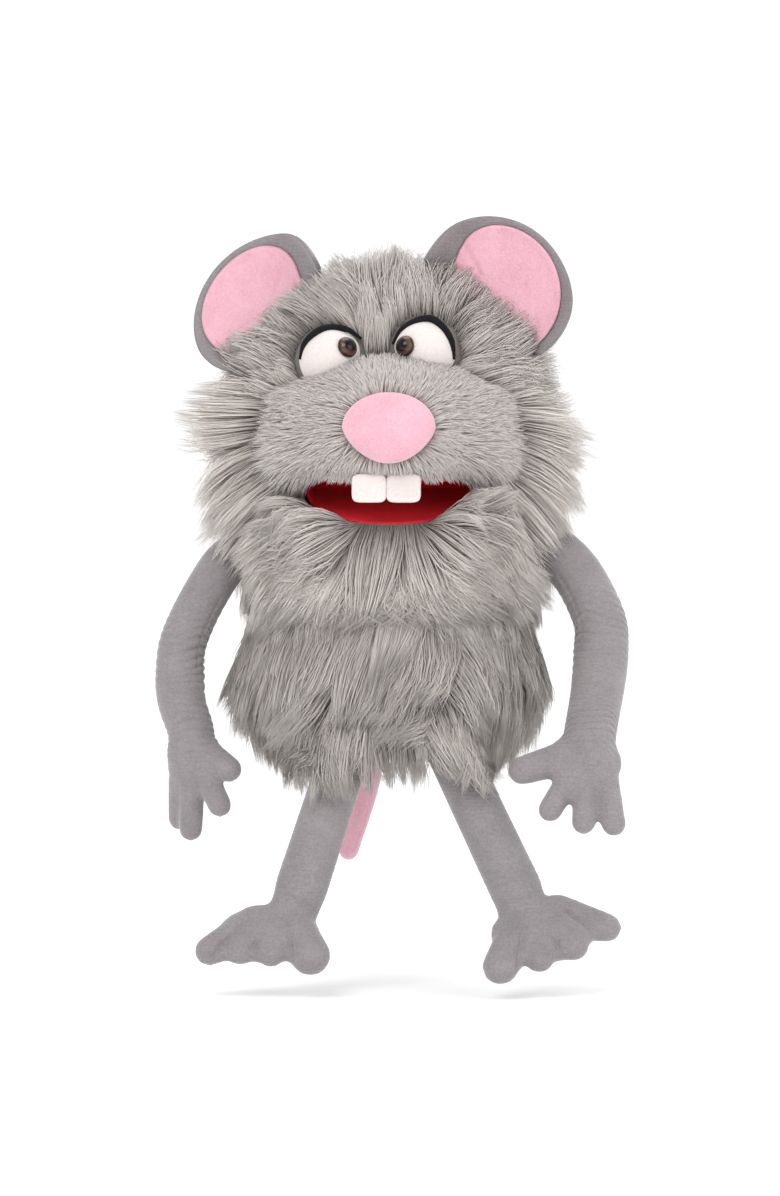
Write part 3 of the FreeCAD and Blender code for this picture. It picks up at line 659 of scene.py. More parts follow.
def keep_outside_turned(paths, line, clearance):
    """Move hair points out sideways where they would sink into a turned body."""
    radius = np.linalg.norm(paths[..., :2], axis=-1)
    wanted = np.interp(paths[..., 2], line[:, 1], line[:, 0], left=0, right=0) + clearance
    grow = np.where((wanted > clearance) & (radius < wanted), wanted / np.maximum(radius, 1e-6), 1.0)
    paths[..., :2] *= grow[..., None]
    return paths


SKIN_THICK = 1.6


def turned_skin(name, line, around):
    """A closed shell of revolution from its outer side line."""
    spans = np.gradient(line, axis=0)
    outward = unit(np.stack([spans[:, 1], -spans[:, 0]], axis=1))
    inner = line - outward * SKIN_THICK
    inner[:, 0] = np.maximum(inner[:, 0], 0.0)
    section = np.concatenate([line, inner[::-1]])
    points = circles(np.outer(section[:, 1], Z_WAY), X_WAY, Y_WAY, section[:, 0], section[:, 0], around)
    piece = mesh_piece(name, points, shell_faces(len(section), around), "pile_skin_painted_shade")
    tidy_closed(piece)
    return piece


# ------------------------------------------------------------------ where hair may not go

EYE_AT = {
    "left": np.array([15.5, -46.0, 168.5]),
    "right": np.array([-27.0, -46.0, 165.0]),
}
EYE_R = 14.5
NOSE_LOW, NOSE_HIGH = node_box("nose_cover")
NOSE_AT = np.array([(NOSE_LOW[0] + NOSE_HIGH[0]) / 2, -90.0, MUZZLE_Z])
NOSE_HALF = np.array([21.0, 13.0, 16.0])
MUZZLE_AT = np.array([0.0, MUZZLE_Y, MUZZLE_Z])
MUZZLE_HALF = np.array([MUZZLE_R, MUZZLE_R, MUZZLE_RISE])
MOUTH_HALF = 46.0
MOUTH_REAR = -8.0
MOUTH_TOP = 112.0
JAW_HINGE = joint_place("jaw_open")
# The jaw is drawn level about its hinge and then dropped by this many degrees.
JAW_DROP = 16.0
JAW_R = 37.5
JAW_DEPTH = 27.0
JAW_Y = -26.0
JAW_TOP = -1.4
JAW_REAR = -1.3


def egg_measure(points, centre, half):
    """Below 1 inside an ellipsoid, 1 on its skin."""
    return np.linalg.norm((points - centre) / half, axis=-1)


def keep_outside_egg(paths, centre, half, clearance):
    """Move hair points out of an ellipsoid, away from its centre."""
    grown = half + clearance
    measure = egg_measure(paths, centre, grown)
    scale = np.where(measure < 1, 1 / np.maximum(measure, 0.05), 1.0)
    return centre + (paths - centre) * scale[..., None]


def head_push_out(paths):
    paths = keep_outside_turned(paths, HEAD_LINE, 1.0)
    paths = keep_outside_turned(paths, THROAT_LINE, own_spread(paths, 2.0, 10.0))
    paths = keep_outside_egg(paths, MUZZLE_AT, MUZZLE_HALF, 0.6)
    for place in EYE_AT.values():
        paths = keep_outside_egg(paths, place, np.full(3, EYE_R), 1.2)
    return paths


# ------------------------------------------------------------------ torso

TORSO_HAIRS = 30000


def torso_flow(points, normals):
    """The body's pile falls and fans out from the throat."""
    fan = points - np.array([0.0, 0.0, 118.0])
    fan[:, 0] *= 1.15
    fan[:, 1] *= 0.5
    return tangent_to(normals, fan)


def keep_before_legs(paths):
    """Bring hair that grows on the body's front over the tops of the legs instead of through them."""
    room = LEG_R + 1.0
    own = own_spread(paths, 0.0, 7.0)
    front = paths[:, :1, 1] < -20
    for side in SIDES:
        hip, ankle = joint_place(f"leg_{side}_spread"), joint_place(f"ankle_{side}_bend")
        share = (hip[2] - paths[..., 2]) / (hip[2] - ankle[2])
        middle = hip[0] + (ankle[0] - hip[0]) * np.clip(share, 0, 1)
        across = np.abs(paths[..., 0] - middle) / room
        near = front & (across < 1) & (paths[..., 2] < hip[2] + room)
        over = smooth_step(hip[2] + room, hip[2], paths[..., 2])
        before = hip[1] - own - room * np.sqrt(np.clip(1 - across ** 2, 0, 1)) * over
        paths[..., 1] = np.where(near, np.minimum(paths[..., 1], before), paths[..., 1])
    return paths


def build_torso():
    collar_in = arc_line(COLLAR, (46.0, 78.0), COLLAR[1] - 14, 8)[1:]
    skin = turned_skin("torso_skin", np.concatenate([TORSO_LINE, collar_in]), 96)
    finish_slot(skin, "torso", "long_pile", "torso_pelt_front", "torso_pelt_back")
    rng = np.random.default_rng(11)
    roots, normals = scatter_on_turned(TORSO_LINE, TORSO_HAIRS, rng)
    look = {
        "stations": 5, "coarse": 190, "fine": 26, "grip": 0.82, "gather": 0.55, "width": 0.6,
        "wild": 0.30, "sway": 0.42, "sway_mm": 34, "shade": lambda p: np.full(len(p), 0.40),
        "length": lambda p: 41 - 12 * smooth_step(44, 66, p[:, 2]) - 8 * smooth_step(10, 50, p[:, 1]),
        "lift": lambda p: 0.55 - 0.36 * smooth_step(38, 58, p[:, 2]) - 0.18 * smooth_step(10, 50, p[:, 1]),
        "droop": lambda p: 0.35 + 0.35 * smooth_step(30, 5, p[:, 2]),
    }
    coat("torso_fur", roots, normals, torso_flow(roots, normals), look, rng,
         lambda paths: keep_before_legs(keep_outside_turned(paths, TORSO_LINE, 1.0)), "torso", "long_pile")


# ------------------------------------------------------------------ head

# Spots thrown over the whole head; those under the muzzle, an eye or the mouth grow nothing.
HEAD_SPOTS = 58880


def head_flow(points, normals):
    """Hair runs away from the nose over the face, lies back over the crown and hangs down behind."""
    away = points - np.array([0.0, -95.0, 126.0])
    side = smooth_step(25, 50, np.abs(points[:, 0])) * smooth_step(165, 120, points[:, 2])
    away = unit(away) - side[:, None] * np.array([0.0, 0.0, 0.55])
    back = np.stack([points[:, 0] * 0.012, np.full(len(points), 0.15), np.full(len(points), -1.0)], axis=1)
    rear = smooth_step(-12, 34, points[:, 1])[:, None]
    crown = smooth_step(175, 196, points[:, 2])[:, None]
    mixed = away * (1 - rear) + back * rear * (1 - crown) + np.array([0.0, 1.0, 0.1]) * rear * crown
    return tangent_to(normals, mixed)


def muzzle_nearness(points):
    """1 beside the muzzle, 0 from some way off."""
    return smooth_step(1.5, 1.0, egg_measure(points, MUZZLE_AT, MUZZLE_HALF))


def head_length(points):
    length = 46 - 22 * muzzle_nearness(points) * smooth_step(138, 152, points[:, 2])
    crown = smooth_step(168, 190, points[:, 2])
    rear = smooth_step(10, 40, points[:, 1])
    low = smooth_step(92, 74, points[:, 2])
    length *= (1 - 0.25 * crown) * (1 - 0.12 * rear) * (1 - 0.25 * low)
    return length * (1 - 0.45 * eye_nearness(points))


def head_shade(points):
    """The head's pile is painted paler than the body's and the cheeks paler than the crown and the back:
    painted light for the brighter light they catch.
    """
    cheek = smooth_step(165, 135, points[:, 2]) * smooth_step(20, -15, points[:, 1])
    return 0.56 + 0.30 * cheek


def eye_nearness(points):
    """1 beside an eye, 0 from some way off."""
    near = np.zeros(len(points))
    for place in EYE_AT.values():
        near = np.maximum(near, smooth_step(EYE_R + 16, EYE_R + 1, np.linalg.norm(points - place, axis=1)))
    return near


def head_lift(points):
    rear = smooth_step(0, 40, points[:, 1])
    crown = smooth_step(178, 196, points[:, 2])
    side = smooth_step(34, 56, np.abs(points[:, 0]))
    cheek = side * smooth_step(150, 125, points[:, 2]) * smooth_step(25, 0, points[:, 1])
    muzzle_side = muzzle_nearness(points) * smooth_step(152, 138, points[:, 2])
    lift = 0.42 + 0.30 * side + 0.50 * cheek + 0.55 * muzzle_side - 0.20 * rear + 0.30 * crown
    return lift * (1 - 0.45 * eye_nearness(points))


def grows_on_head(points):
    """True where the head's pile isn't under the muzzle, an eye or the mouth."""
    free = egg_measure(points, MUZZLE_AT, MUZZLE_HALF) > 1.0
    for place in EYE_AT.values():
        across = np.hypot(points[:, 0] - place[0], points[:, 2] - place[2])
        free &= (across > EYE_R + 1.5) | (points[:, 1] > 0)
    in_mouth = (np.abs(points[:, 0]) < MOUTH_HALF) & (points[:, 1] < MOUTH_REAR) & (points[:, 2] < MOUTH_TOP)
    return free & ~in_mouth


def build_head():
    skin = turned_skin("head_skin", HEAD_LINE, 120)
    open_mouth(skin)
    finish_slot(skin, "head", "long_pile", "head_pelt_front", "head_pelt_back")
    rng = np.random.default_rng(23)
    roots, normals = scatter_on_turned(HEAD_LINE, HEAD_SPOTS, rng)
    kept = grows_on_head(roots)
    roots, normals = roots[kept], normals[kept]
    look = {
        "stations": 5, "coarse": 190, "fine": 26, "grip": 0.72, "gather": 0.6, "width": 0.56,
        "wild": 0.24, "sway": 0.22, "sway_mm": 50, "shade": head_shade,
        "length": head_length, "lift": head_lift,
        "droop": lambda p: 0.12 + 0.5 * smooth_step(155, 115, p[:, 2]),
    }
    coat("head_fur", roots, normals, head_flow(roots, normals), look, rng, head_push_out, "head", "long_pile")


def open_mouth(skin):
    """Take the mouth's opening out of the head's skin."""
    cuts = (((0, 0, MOUTH_TOP), (0, 0, 1)), ((0, MOUTH_REAR, 0), (0, 1, 0)),
            ((MOUTH_HALF, 0, 0), (1, 0, 0)), ((-MOUTH_HALF, 0, 0), (-1, 0, 0)))
    with editing(skin) as work:
        for place, across in cuts:
            geometry = work.verts[:] + work.edges[:] + work.faces[:]
            bmesh.ops.bisect_plane(work, geom=geometry, plane_co=Vector(place) * MM, plane_no=across)
        inside = []
        for face in work.faces:
            middle = face.calc_center_median() / MM
            if abs(middle.x) < MOUTH_HALF and middle.y < MOUTH_REAR and middle.z < MOUTH_TOP:
                inside.append(face)
        bmesh.ops.delete(work, geom=inside, context="FACES")
        bmesh.ops.holes_fill(work, edges=[edge for edge in work.edges if edge.is_boundary], sides=0)


# ------------------------------------------------------------------ muzzle, nose and teeth

MUZZLE_HAIRS = 24000


def egg_points(centre, half, rows, columns):
    """A grid over an ellipsoid, pole to pole along Z."""
    polar = math.pi * np.arange(rows + 1) / rows
    middles = centre + np.outer(np.cos(polar) * half[2], Z_WAY)
    return circles(middles, X_WAY, Y_WAY, np.sin(polar) * half[0], np.sin(polar) * half[1], columns)


def egg_faces(rows, columns):
    return grid_faces(rows + 1, columns, True)


def scatter_on_egg(centre, half, count, rng):
    """Even random points and outward normals on an ellipsoid."""
    rays = unit(rng.normal(size=(count * 4, 3)))
    stretch = np.linalg.norm(rays / half, axis=1)
    kept = rng.uniform(0, 1, len(rays)) < stretch / stretch.max()
    rays = rays[kept][:count]
    return centre + rays * half, unit(rays / half)


def muzzle_flow(points, normals):
    """The muzzle's short pile runs away from the nose on all sides and turns down over the lip."""
    away = unit(points - (NOSE_AT + np.array([0.0, -6.0, 2.0])))
    lip = smooth_step(124, 114, points[:, 2])[:, None]
    return tangent_to(normals, away - lip * np.array([0.0, 0.0, 0.5]))


def muzzle_length(points):
    """Short over the nose, longer towards the cheeks and longest beside the mouth's corners."""
    back = smooth_step(-66, -28, points[:, 1])
    corner = smooth_step(28, 42, np.abs(points[:, 0])) * smooth_step(136, 120, points[:, 2])
    lip = smooth_step(120, 114, points[:, 2])
    low = smooth_step(160, 148, points[:, 2])
    middle = smooth_step(40, 26, np.abs(points[:, 0]))
    return 7.5 + 2.5 * back + 13 * back * low + 12 * corner - 1.6 * lip * middle


def muzzle_lift(points):
    """Flat over the nose, standing out at the sides so that the muzzle melts into the cheeks."""
    side = smooth_step(30, 46, np.abs(points[:, 0])) * smooth_step(158, 146, points[:, 2])
    return 0.45 + 0.65 * side


def build_muzzle():
    points = egg_points(MUZZLE_AT, MUZZLE_HALF - 0.8, 48, 96)
    points[:, 2] = np.maximum(points[:, 2], LIP_Z)
    skin = mesh_piece("muzzle_skin", points, egg_faces(48, 96), "muzzle_skin")
    tidy_closed(skin)
    finish_slot(skin, "head", "short_pile", "muzzle_pelt")
    rng = np.random.default_rng(37)
    roots, normals = scatter_on_egg(MUZZLE_AT, MUZZLE_HALF, MUZZLE_HAIRS * 2, rng)
    kept = (roots[:, 2] > LIP_Z - 1.0) & (egg_measure(roots, NOSE_AT, NOSE_HALF) > 0.97)
    kept &= np.linalg.norm(roots - np.array([0.0, 0.0, SKULL_Z]), axis=1) > SKULL_R - 1
    for place in EYE_AT.values():
        kept &= np.linalg.norm(roots - place, axis=1) > EYE_R
    roots, normals = roots[kept][:MUZZLE_HAIRS], normals[kept][:MUZZLE_HAIRS]
    look = {
        "stations": 4, "coarse": 60, "fine": 12, "grip": 0.3, "gather": 0.2, "width": 0.44,
        "wild": 0.2, "sway": 0.18, "sway_mm": 26, "shade": lambda p: np.full(len(p), 0.5),
        "length": muzzle_length, "lift": muzzle_lift,
        "droop": lambda p: 0.35 * smooth_step(130, 114, p[:, 2]),
    }
    coat("muzzle_fur", roots, normals, muzzle_flow(roots, normals), look, rng,
         lambda paths: keep_outside_egg(paths, MUZZLE_AT, MUZZLE_HALF, 0.5), "head", "short_pile")


def build_nose():
    points = egg_points(np.zeros(3), NOSE_HALF, 40, 80)
    low = np.clip(-points[:, 2] / NOSE_HALF[2], 0, 1)
    points[:, 0] *= 1 - 0.20 * low
    points[:, 1] *= 1 + 0.04 * np.clip(points[:, 2] / NOSE_HALF[2], 0, 1)
    nose = mesh_piece("nose_plush", points + NOSE_AT, egg_faces(40, 80), "pink_plush")
    tidy_closed(nose)
    finish_slot(nose, "head", "pink_plush", "nose_cover")


def pillow_box(centre, half):
    """A puffy box: a rounded cube whose faces crown outwards."""
    rows, power = 20, 5
    points = []
    for face in range(6):
        axis, sign = face // 2, (1 if face % 2 else -1)
        for a in np.linspace(-1, 1, rows):
            for b in np.linspace(-1, 1, rows):
                ray = np.zeros(3)
                ray[axis] = sign
                ray[(axis + 1) % 3] = a * sign
                ray[(axis + 2) % 3] = b
                points.append(centre + half * ray / np.sum(np.abs(ray) ** power) ** (1 / power))
    faces = []
    for face in range(6):
        base = face * rows * rows
        for a in range(rows - 1):
            for b in range(rows - 1):
                first = base + a * rows + b
                faces.append((first, first + rows, first + rows + 1, first + 1))
    return points, faces


def build_teeth():
    low, high = node_box("teeth")
    middle = (low + high) / 2
    wide = (high[0] - low[0]) / 4
    for side, sign in (("left", 1), ("right", -1)):
        half = np.array([wide + 0.1, 3.1, (high[2] - low[2]) / 2])
        centre = np.array([middle[0] + sign * wide, middle[1], middle[2]])
        points, faces = pillow_box(centre, half)
        tooth = mesh_piece(f"tooth_{side}", points, faces, "white_fleece")
        tidy_closed(tooth)
        finish_slot(tooth, "head", "white_fleece", *(["teeth"] if side == "left" else []))


# ------------------------------------------------------------------ eyes

# Where each eye looks, in degrees: sideways and up.
LOOK = {"left": (-36.9, 8.7), "right": (33.7, 21.0)}
BEAD_R = 5.0
BEAD_RISE = 3.6
BEAD_SEAT = 14.65
BEAD_ROOT = 9.0
BEAD_STEM_R = 1.75
# Each rim over the eye, as directions in degrees seen from the front and distances from the eye's middle.
LID_LINE = {
    "right": ((180, 14.2), (150, 13.9), (120, 13.8), (94, 14.3), (62, 15.5), (34, 16.8)),
    "left": ((166, 14.7), (136, 14.4), (106, 14.4), (78, 15.3), (52, 13.9), (28, 13.4), (10, 13.4),
             (-14, 14.2)),
}


def look_direction(side):
    turn, lift = (math.radians(angle) for angle in LOOK[side])
    return np.array([math.sin(turn) * math.cos(lift), -math.cos(turn) * math.cos(lift), math.sin(lift)])


def curve_through(knots, count):
    """A smooth line through the knots."""
    knots = np.asarray(knots, dtype=float)
    padded = np.concatenate([2 * knots[:1] - knots[1:2], knots, 2 * knots[-1:] - knots[-2:-1]])
    line = []
    for share in np.linspace(0, len(knots) - 1, count):
        index = min(int(share), len(knots) - 2)
        t = share - index
        a, b, c, d = padded[index:index + 4]
        line.append(0.5 * (2 * b + (c - a) * t + (2 * a - 5 * b + 4 * c - d) * t ** 2
                           + (3 * b - a - 3 * c + d) * t ** 3))
    return np.array(line)


def felt_tube(name, line, widths):
    """A closed tube of black felt along a line that is seen from the front."""
    around = 14
    tangents = unit(np.gradient(line, axis=0))
    across = unit(np.cross(tangents, -Y_WAY))
    points = circles(line, across, np.cross(across, tangents), widths / 2, widths * 0.55, around)
    faces = grid_faces(len(line), around, True)
    faces.append(tuple(range(around))[::-1])
    faces.append(tuple((len(line) - 1) * around + step for step in range(around)))
    piece = mesh_piece(name, points, faces, "black_felt")
    tidy_closed(piece)
    return piece


def build_eyeball(side):
    points = egg_points(EYE_AT[side], np.full(3, EYE_R), 32, 64)
    white = mesh_piece(f"eyeball_{side}", points, egg_faces(32, 64), "white_fleece")
    tidy_closed(white)
    finish_slot(white, "head", "white_fleece", f"eye_white_{side}")


def build_bead(side):
    """The safety eye: a low dome with a stem behind it. Its map holds the distance from its axis."""
    look = look_direction(side)
    aside = unit(np.cross(look, Z_WAY))
    rings, columns = 14, 40
    crown = (BEAD_R ** 2 + BEAD_RISE ** 2) / (2 * BEAD_RISE)
    out = np.linspace(0, BEAD_R, rings + 1)
    rise = BEAD_SEAT + BEAD_RISE - crown + np.sqrt(crown ** 2 - out ** 2)
    middles = EYE_AT[side] + np.outer(np.append(rise, BEAD_ROOT), look)
    radii = np.append(out, BEAD_STEM_R)
    points = circles(middles, aside, np.cross(aside, look), radii, radii, columns)
    shares = np.repeat(np.append(out / BEAD_R, 1.0), columns)
    faces = grid_faces(rings + 2, columns, True)
    faces.append(tuple((rings + 1) * columns + column for column in range(columns))[::-1])
    bead = mesh_piece(f"eye_bead_{side}", points, faces, "eye_plastic")
    layer = bead.data.uv_layers.new(name="OFBake")
    for loop in bead.data.loops:
        layer.data[loop.index].uv = (shares[loop.vertex_index], 0.5)
    tidy_closed(bead)
    finish_slot(bead, "head", "eye_plastic", f"safety_eye_{side}")


def build_rim(side):
    """The black felt rim that lies over the eyeball, swelling in its middle."""
    centre = EYE_AT[side]
    knots = []
    for angle, distance in LID_LINE[side]:
        turn = math.radians(angle)
        out = min(distance, EYE_R - 0.2)
        front = centre[1] - math.sqrt(EYE_R ** 2 - out ** 2) * 0.9 - 2.2
        knots.append((centre[0] + distance * math.cos(turn), front, centre[2] + distance * math.sin(turn)))
    line = curve_through(knots, 48)
    widths = 1.2 + 2.4 * np.sin(np.linspace(0, 1, len(line)) * math.pi)
    finish_slot(felt_tube(f"eye_rim_{side}", line, widths), "head", "black_felt", f"eyelid_{side}")


# ------------------------------------------------------------------ jaw and mouth

JAW_HAIRS = 12500
CHEEK_HAIRS = 2600
KEEL = np.array([0.0, JAW_Y])


def tipped(points, degrees):
    """Points turned about the X axis."""
    cosine, sine = math.cos(math.radians(degrees)), math.sin(math.radians(degrees))
    y = points[..., 1] * cosine - points[..., 2] * sine
    z = points[..., 1] * sine + points[..., 2] * cosine
    return np.stack([points[..., 0], y, z], axis=-1)


def jaw_to_row(points):
    """From the jaw drawn level about its hinge to its place in the resting gape."""
    return tipped(np.asarray(points, dtype=float), JAW_DROP) + JAW_HINGE


def row_to_jaw(points):
    """From a place in the resting gape to the jaw drawn level about its hinge."""
    return tipped(np.asarray(points, dtype=float) - JAW_HINGE, -JAW_DROP)


def jaw_rim(count, inset=0.0):
    """The jaw's lip seen from above: straight sides and a round front, from hinge to hinge."""
    radius = JAW_R - inset
    side = np.linspace(JAW_REAR, JAW_Y, 8)[:-1]
    line = [(radius, y) for y in side]
    line += [(radius * math.cos(a), JAW_Y - radius * math.sin(a)) for a in np.linspace(0, math.pi, count)]
    line += [(-radius, y) for y in side[::-1]]
    return np.array(line)


def jaw_bowl_point(outline, share, depth):
    """Down the bowl from its lip at share 0 to its keel at share 1."""
    turn = share * math.pi / 2
    flat = KEEL + (outline - KEEL) * math.cos(turn)
    flat[:, 1] = np.minimum(flat[:, 1], JAW_REAR)
    return np.column_stack([flat, np.full(len(outline), JAW_TOP - depth * math.sin(turn))])


def lip_corner(roots):
    """1 on the lower lip towards the mouth's corners, where the hair stands up over the lip."""
    below = JAW_TOP - row_to_jaw(roots)[:, 2]
    return smooth_step(6.0, 0.5, below) * smooth_step(7, 22, np.abs(roots[:, 0]))


def build_jaw():
    rows = [jaw_bowl_point(jaw_rim(40), share, JAW_DEPTH) for share in np.linspace(0, 1, 16)]
    rows += [jaw_bowl_point(jaw_rim(40, 2.0), share, JAW_DEPTH - 2) for share in np.linspace(1, 0, 16)]
    points = jaw_to_row(np.concatenate(rows))
    skin = mesh_piece("jaw_skin", points, shell_faces(len(rows), len(rows[0])), "pile_skin_painted_shade")
    tidy_closed(skin)
    finish_slot(skin, "jaw", "long_pile", "jaw_pelt")


def scatter_on_jaw(count, rng):
    """Random points and outward normals over the jaw's bowl, thicker towards the lip."""
    outline = jaw_rim(40)
    turn = rng.uniform(0, 1, count) ** 1.25 * 0.85 * math.pi / 2
    spot = rng.uniform(0, len(outline) - 1.001, count)
    first = spot.astype(int)
    part = (spot - first)[:, None]
    edge = outline[first] * (1 - part) + outline[first + 1] * part
    inward = (edge - KEEL) * np.cos(turn)[:, None]
    local = np.column_stack([KEEL + inward, JAW_TOP - JAW_DEPTH * np.sin(turn)])
    outward = np.column_stack([inward / JAW_R ** 2, (local[:, 2] - JAW_TOP) / JAW_DEPTH ** 2])
    return jaw_to_row(local), unit(jaw_to_row(outward) - JAW_HINGE)


def build_chin_fur():
    """The chin's pile falls away from the lower lip on all sides."""
    rng = np.random.default_rng(41)
    roots, normals = scatter_on_jaw(JAW_HAIRS, rng)
    lip_middle = jaw_to_row(np.array([0.0, JAW_Y - JAW_R + 6, JAW_TOP + 10]))
    away = unit(roots - lip_middle) + np.array([0.0, -0.15, -0.75])
    away[:, 2] += 0.35 * smooth_step(12, 30, np.abs(roots[:, 0]))
    away[:, 2] += 2.4 * lip_corner(roots)
    look = {
        "stations": 5, "coarse": 170, "fine": 26, "grip": 0.8, "gather": 0.5, "width": 0.58,
        # The chin's shade of 0.66 is painted light: paler than the body's 0.40 for the brighter light on the
        # head's pile.
        "wild": 0.34, "sway": 0.36, "sway_mm": 30, "shade": lambda p: np.full(len(p), 0.66),
        "length": lambda p: (44 - 10 * smooth_step(-30, -8, p[:, 1])) * (1 - 0.35 * lip_corner(p)),
        "lift": lambda p: 0.6 + 0.3 * lip_corner(p),
        "droop": lambda p: 0.55 + 0.35 * lip_corner(p),
    }
    coat("chin_fur", roots, normals, tangent_to(normals, away), look, rng, jaw_push_out, "jaw", "long_pile")


def jaw_push_out(paths):
    """Keep the chin's hair out of its own bowl and in front of the body's skin."""
    bowl_at, bowl_half = np.array([0.0, JAW_Y, JAW_TOP]), np.array([JAW_R, JAW_R, JAW_DEPTH])
    local = keep_outside_egg(row_to_jaw(paths), bowl_at, bowl_half, 0.5)
    return keep_outside_turned(jaw_to_row(local), THROAT_LINE, own_spread(paths, 3.0, 9.0))


def padded_sheet(outline, centre, height, thickness):
    """Points and faces of a padded sheet in an outline; its height follows the share from centre to edge."""
    rings = 14
    upper, lower = [], []
    for ring in range(rings + 1):
        share = ring / rings
        flat = centre + (outline - centre) * share
        upper.append(np.column_stack([flat, np.full(len(outline), height(share))]))
        lower.append(np.column_stack([flat, np.full(len(outline), height(share) - thickness)]))
    return np.concatenate(upper + lower[::-1]), grid_faces(2 * rings + 2, len(outline), True)


ROOF_R = 35.0
ROOF_Z = 111.6


def build_mouth():
    """Red felt roof and floor, each a padded sheet, and an upright strip behind them."""
    front = [(ROOF_R * math.cos(a), MUZZLE_Y - ROOF_R * math.sin(a)) for a in np.linspace(0, math.pi, 48)]
    outline = np.array([(ROOF_R, MOUTH_REAR), *front, (-ROOF_R, MOUTH_REAR)])
    centre = np.array([0.0, MUZZLE_Y])
    points, faces = padded_sheet(outline, centre, lambda s: ROOF_Z - 0.8 * (1 - s ** 2), 2.0)
    roof = mesh_piece("mouth_roof", points, faces, "red_felt")
    tidy_closed(roof)
    finish_slot(roof, "head", "red_felt", "upper_mouth_lining")
    points, faces = padded_sheet(jaw_rim(48, 0.3), KEEL, lambda s: JAW_TOP - 1.0 + 1.9 * s ** 6, 1.0)
    floor = mesh_piece("mouth_floor", jaw_to_row(points), faces, "red_felt")
    tidy_closed(floor)
    finish_slot(floor, "jaw", "red_felt", "lower_mouth_lining")
    across, heights = np.meshgrid(np.linspace(-45.0, 45.0, 20), np.linspace(105.8, ROOF_Z, 4))
    behind = np.stack([across, np.full(across.shape, MOUTH_REAR - 2.2), heights], axis=-1)
    finish_slot(folded_sheet("mouth_back", behind, 1.0, "red_felt"), "head", "red_felt")


def folded_sheet(name, grid, thickness, material):
    """A closed cloth sheet from a grid of points on its middle."""
    rows, columns = grid.shape[:2]
    normals = unit(np.cross(np.gradient(grid, axis=0), np.gradient(grid, axis=1)))
    points = np.concatenate([(grid + normals * thickness / 2).reshape(-1, 3),
                             (grid - normals * thickness / 2).reshape(-1, 3)])
    front = grid_faces(rows, columns, False)
    faces = front + [tuple(corner + rows * columns for corner in face[::-1]) for face in front]
    border = list(range(columns))
    border += [row * columns + columns - 1 for row in range(1, rows)]
    border += [(rows - 1) * columns + column for column in range(columns - 2, -1, -1)]
    border += [row * columns for row in range(rows - 2, 0, -1)]
    for here, following in zip(border, border[1:] + border[:1]):
        faces.append((here, here + rows * columns, following + rows * columns, following))
    piece = mesh_piece(name, points, faces, material)
    tidy_closed(piece)
    return piece


def cheek_grid(sign):
    """The cheek's cloth between the head's edge and the side of the jaw, from the lip down to the neck."""
    rows, columns = 24, 10
    heights = np.linspace(MOUTH_TOP + 2, SKIRT_Z - 4, rows)
    radius = np.interp(heights, HEAD_LINE[:, 1], HEAD_LINE[:, 0])
    outer_y = -np.sqrt(radius ** 2 - MOUTH_HALF ** 2)
    share = np.linspace(0, 1, columns)
    x = MOUTH_HALF + 1 - (MOUTH_HALF + 0.5 - JAW_R) * share[None, :]
    y = outer_y[:, None] * (1 - share) + (-31.0) * share - 3.0 * np.sin(share * math.pi)
    z = np.repeat(heights[:, None], columns, axis=1)
    return np.stack([sign * np.broadcast_to(x, z.shape), y, z], axis=-1)


def cheek_bridge(sign):
    """Where the cheek leaves the head and where it joins the jaw."""
    return (sign * MOUTH_HALF, -25.0, 95.0), (sign * (JAW_R - 2), -25.0, 95.0)


def scatter_on_grid(grid, count, rng):
    """Random points over a sheet that is given as a grid of points."""
    rows, columns = grid.shape[:2]
    row = rng.uniform(0, rows - 1.001, count)
    column = rng.uniform(0, columns - 1.001, count)
    i, j = row.astype(int), column.astype(int)
    a, b = (row - i)[:, None], (column - j)[:, None]
    return (grid[i, j] * (1 - a) + grid[i + 1, j] * a) * (1 - b) + grid[i, j + 1] * b


def build_cheek(side):
    """Cloth and pile that join the head to the jaw beside the mouth."""
    sign = 1 if side == "left" else -1
    grid = cheek_grid(sign)
    skin = folded_sheet(f"cheek_skin_{side}", grid, 1.4, "pile_skin_painted_shade")
    finish_bridge(skin, ("head", "jaw"), *cheek_bridge(sign), "long_pile")
    rng = np.random.default_rng(53 + sign)
    roots = scatter_on_grid(grid, CHEEK_HAIRS, rng)
    normals = unit(np.tile([sign * 0.35, -1.0, 0.0], (CHEEK_HAIRS, 1)))
    away = np.tile([sign * 0.75, -0.1, -0.62], (CHEEK_HAIRS, 1))
    away[:, 2] -= 0.4 * smooth_step(100, 75, roots[:, 2])
    look = {
        "stations": 5, "coarse": 120, "fine": 22, "grip": 0.78, "gather": 0.5, "width": 0.58,
        # The shade of 0.75 is painted light: the cheek's pile is paler than the body's for the brighter light
        # on the head's pile.
        "wild": 0.22, "sway": 0.18, "sway_mm": 30, "shade": lambda p: np.full(len(p), 0.75),
        "length": lambda p: 24 + 10 * smooth_step(108, 95, p[:, 2]),
        "lift": lambda p: np.full(len(p), 0.5),
        "droop": lambda p: np.full(len(p), 0.35),
    }
    paths, widths, shades = grow_coat(roots, normals, tangent_to(normals, away), look, rng, lambda p: p)
    fur = hair_mesh(f"cheek_fur_{side}", paths, widths, normals, shades, "long_pile")
    finish_bridge(fur, ("head", "jaw"), *cheek_bridge(sign), "long_pile")


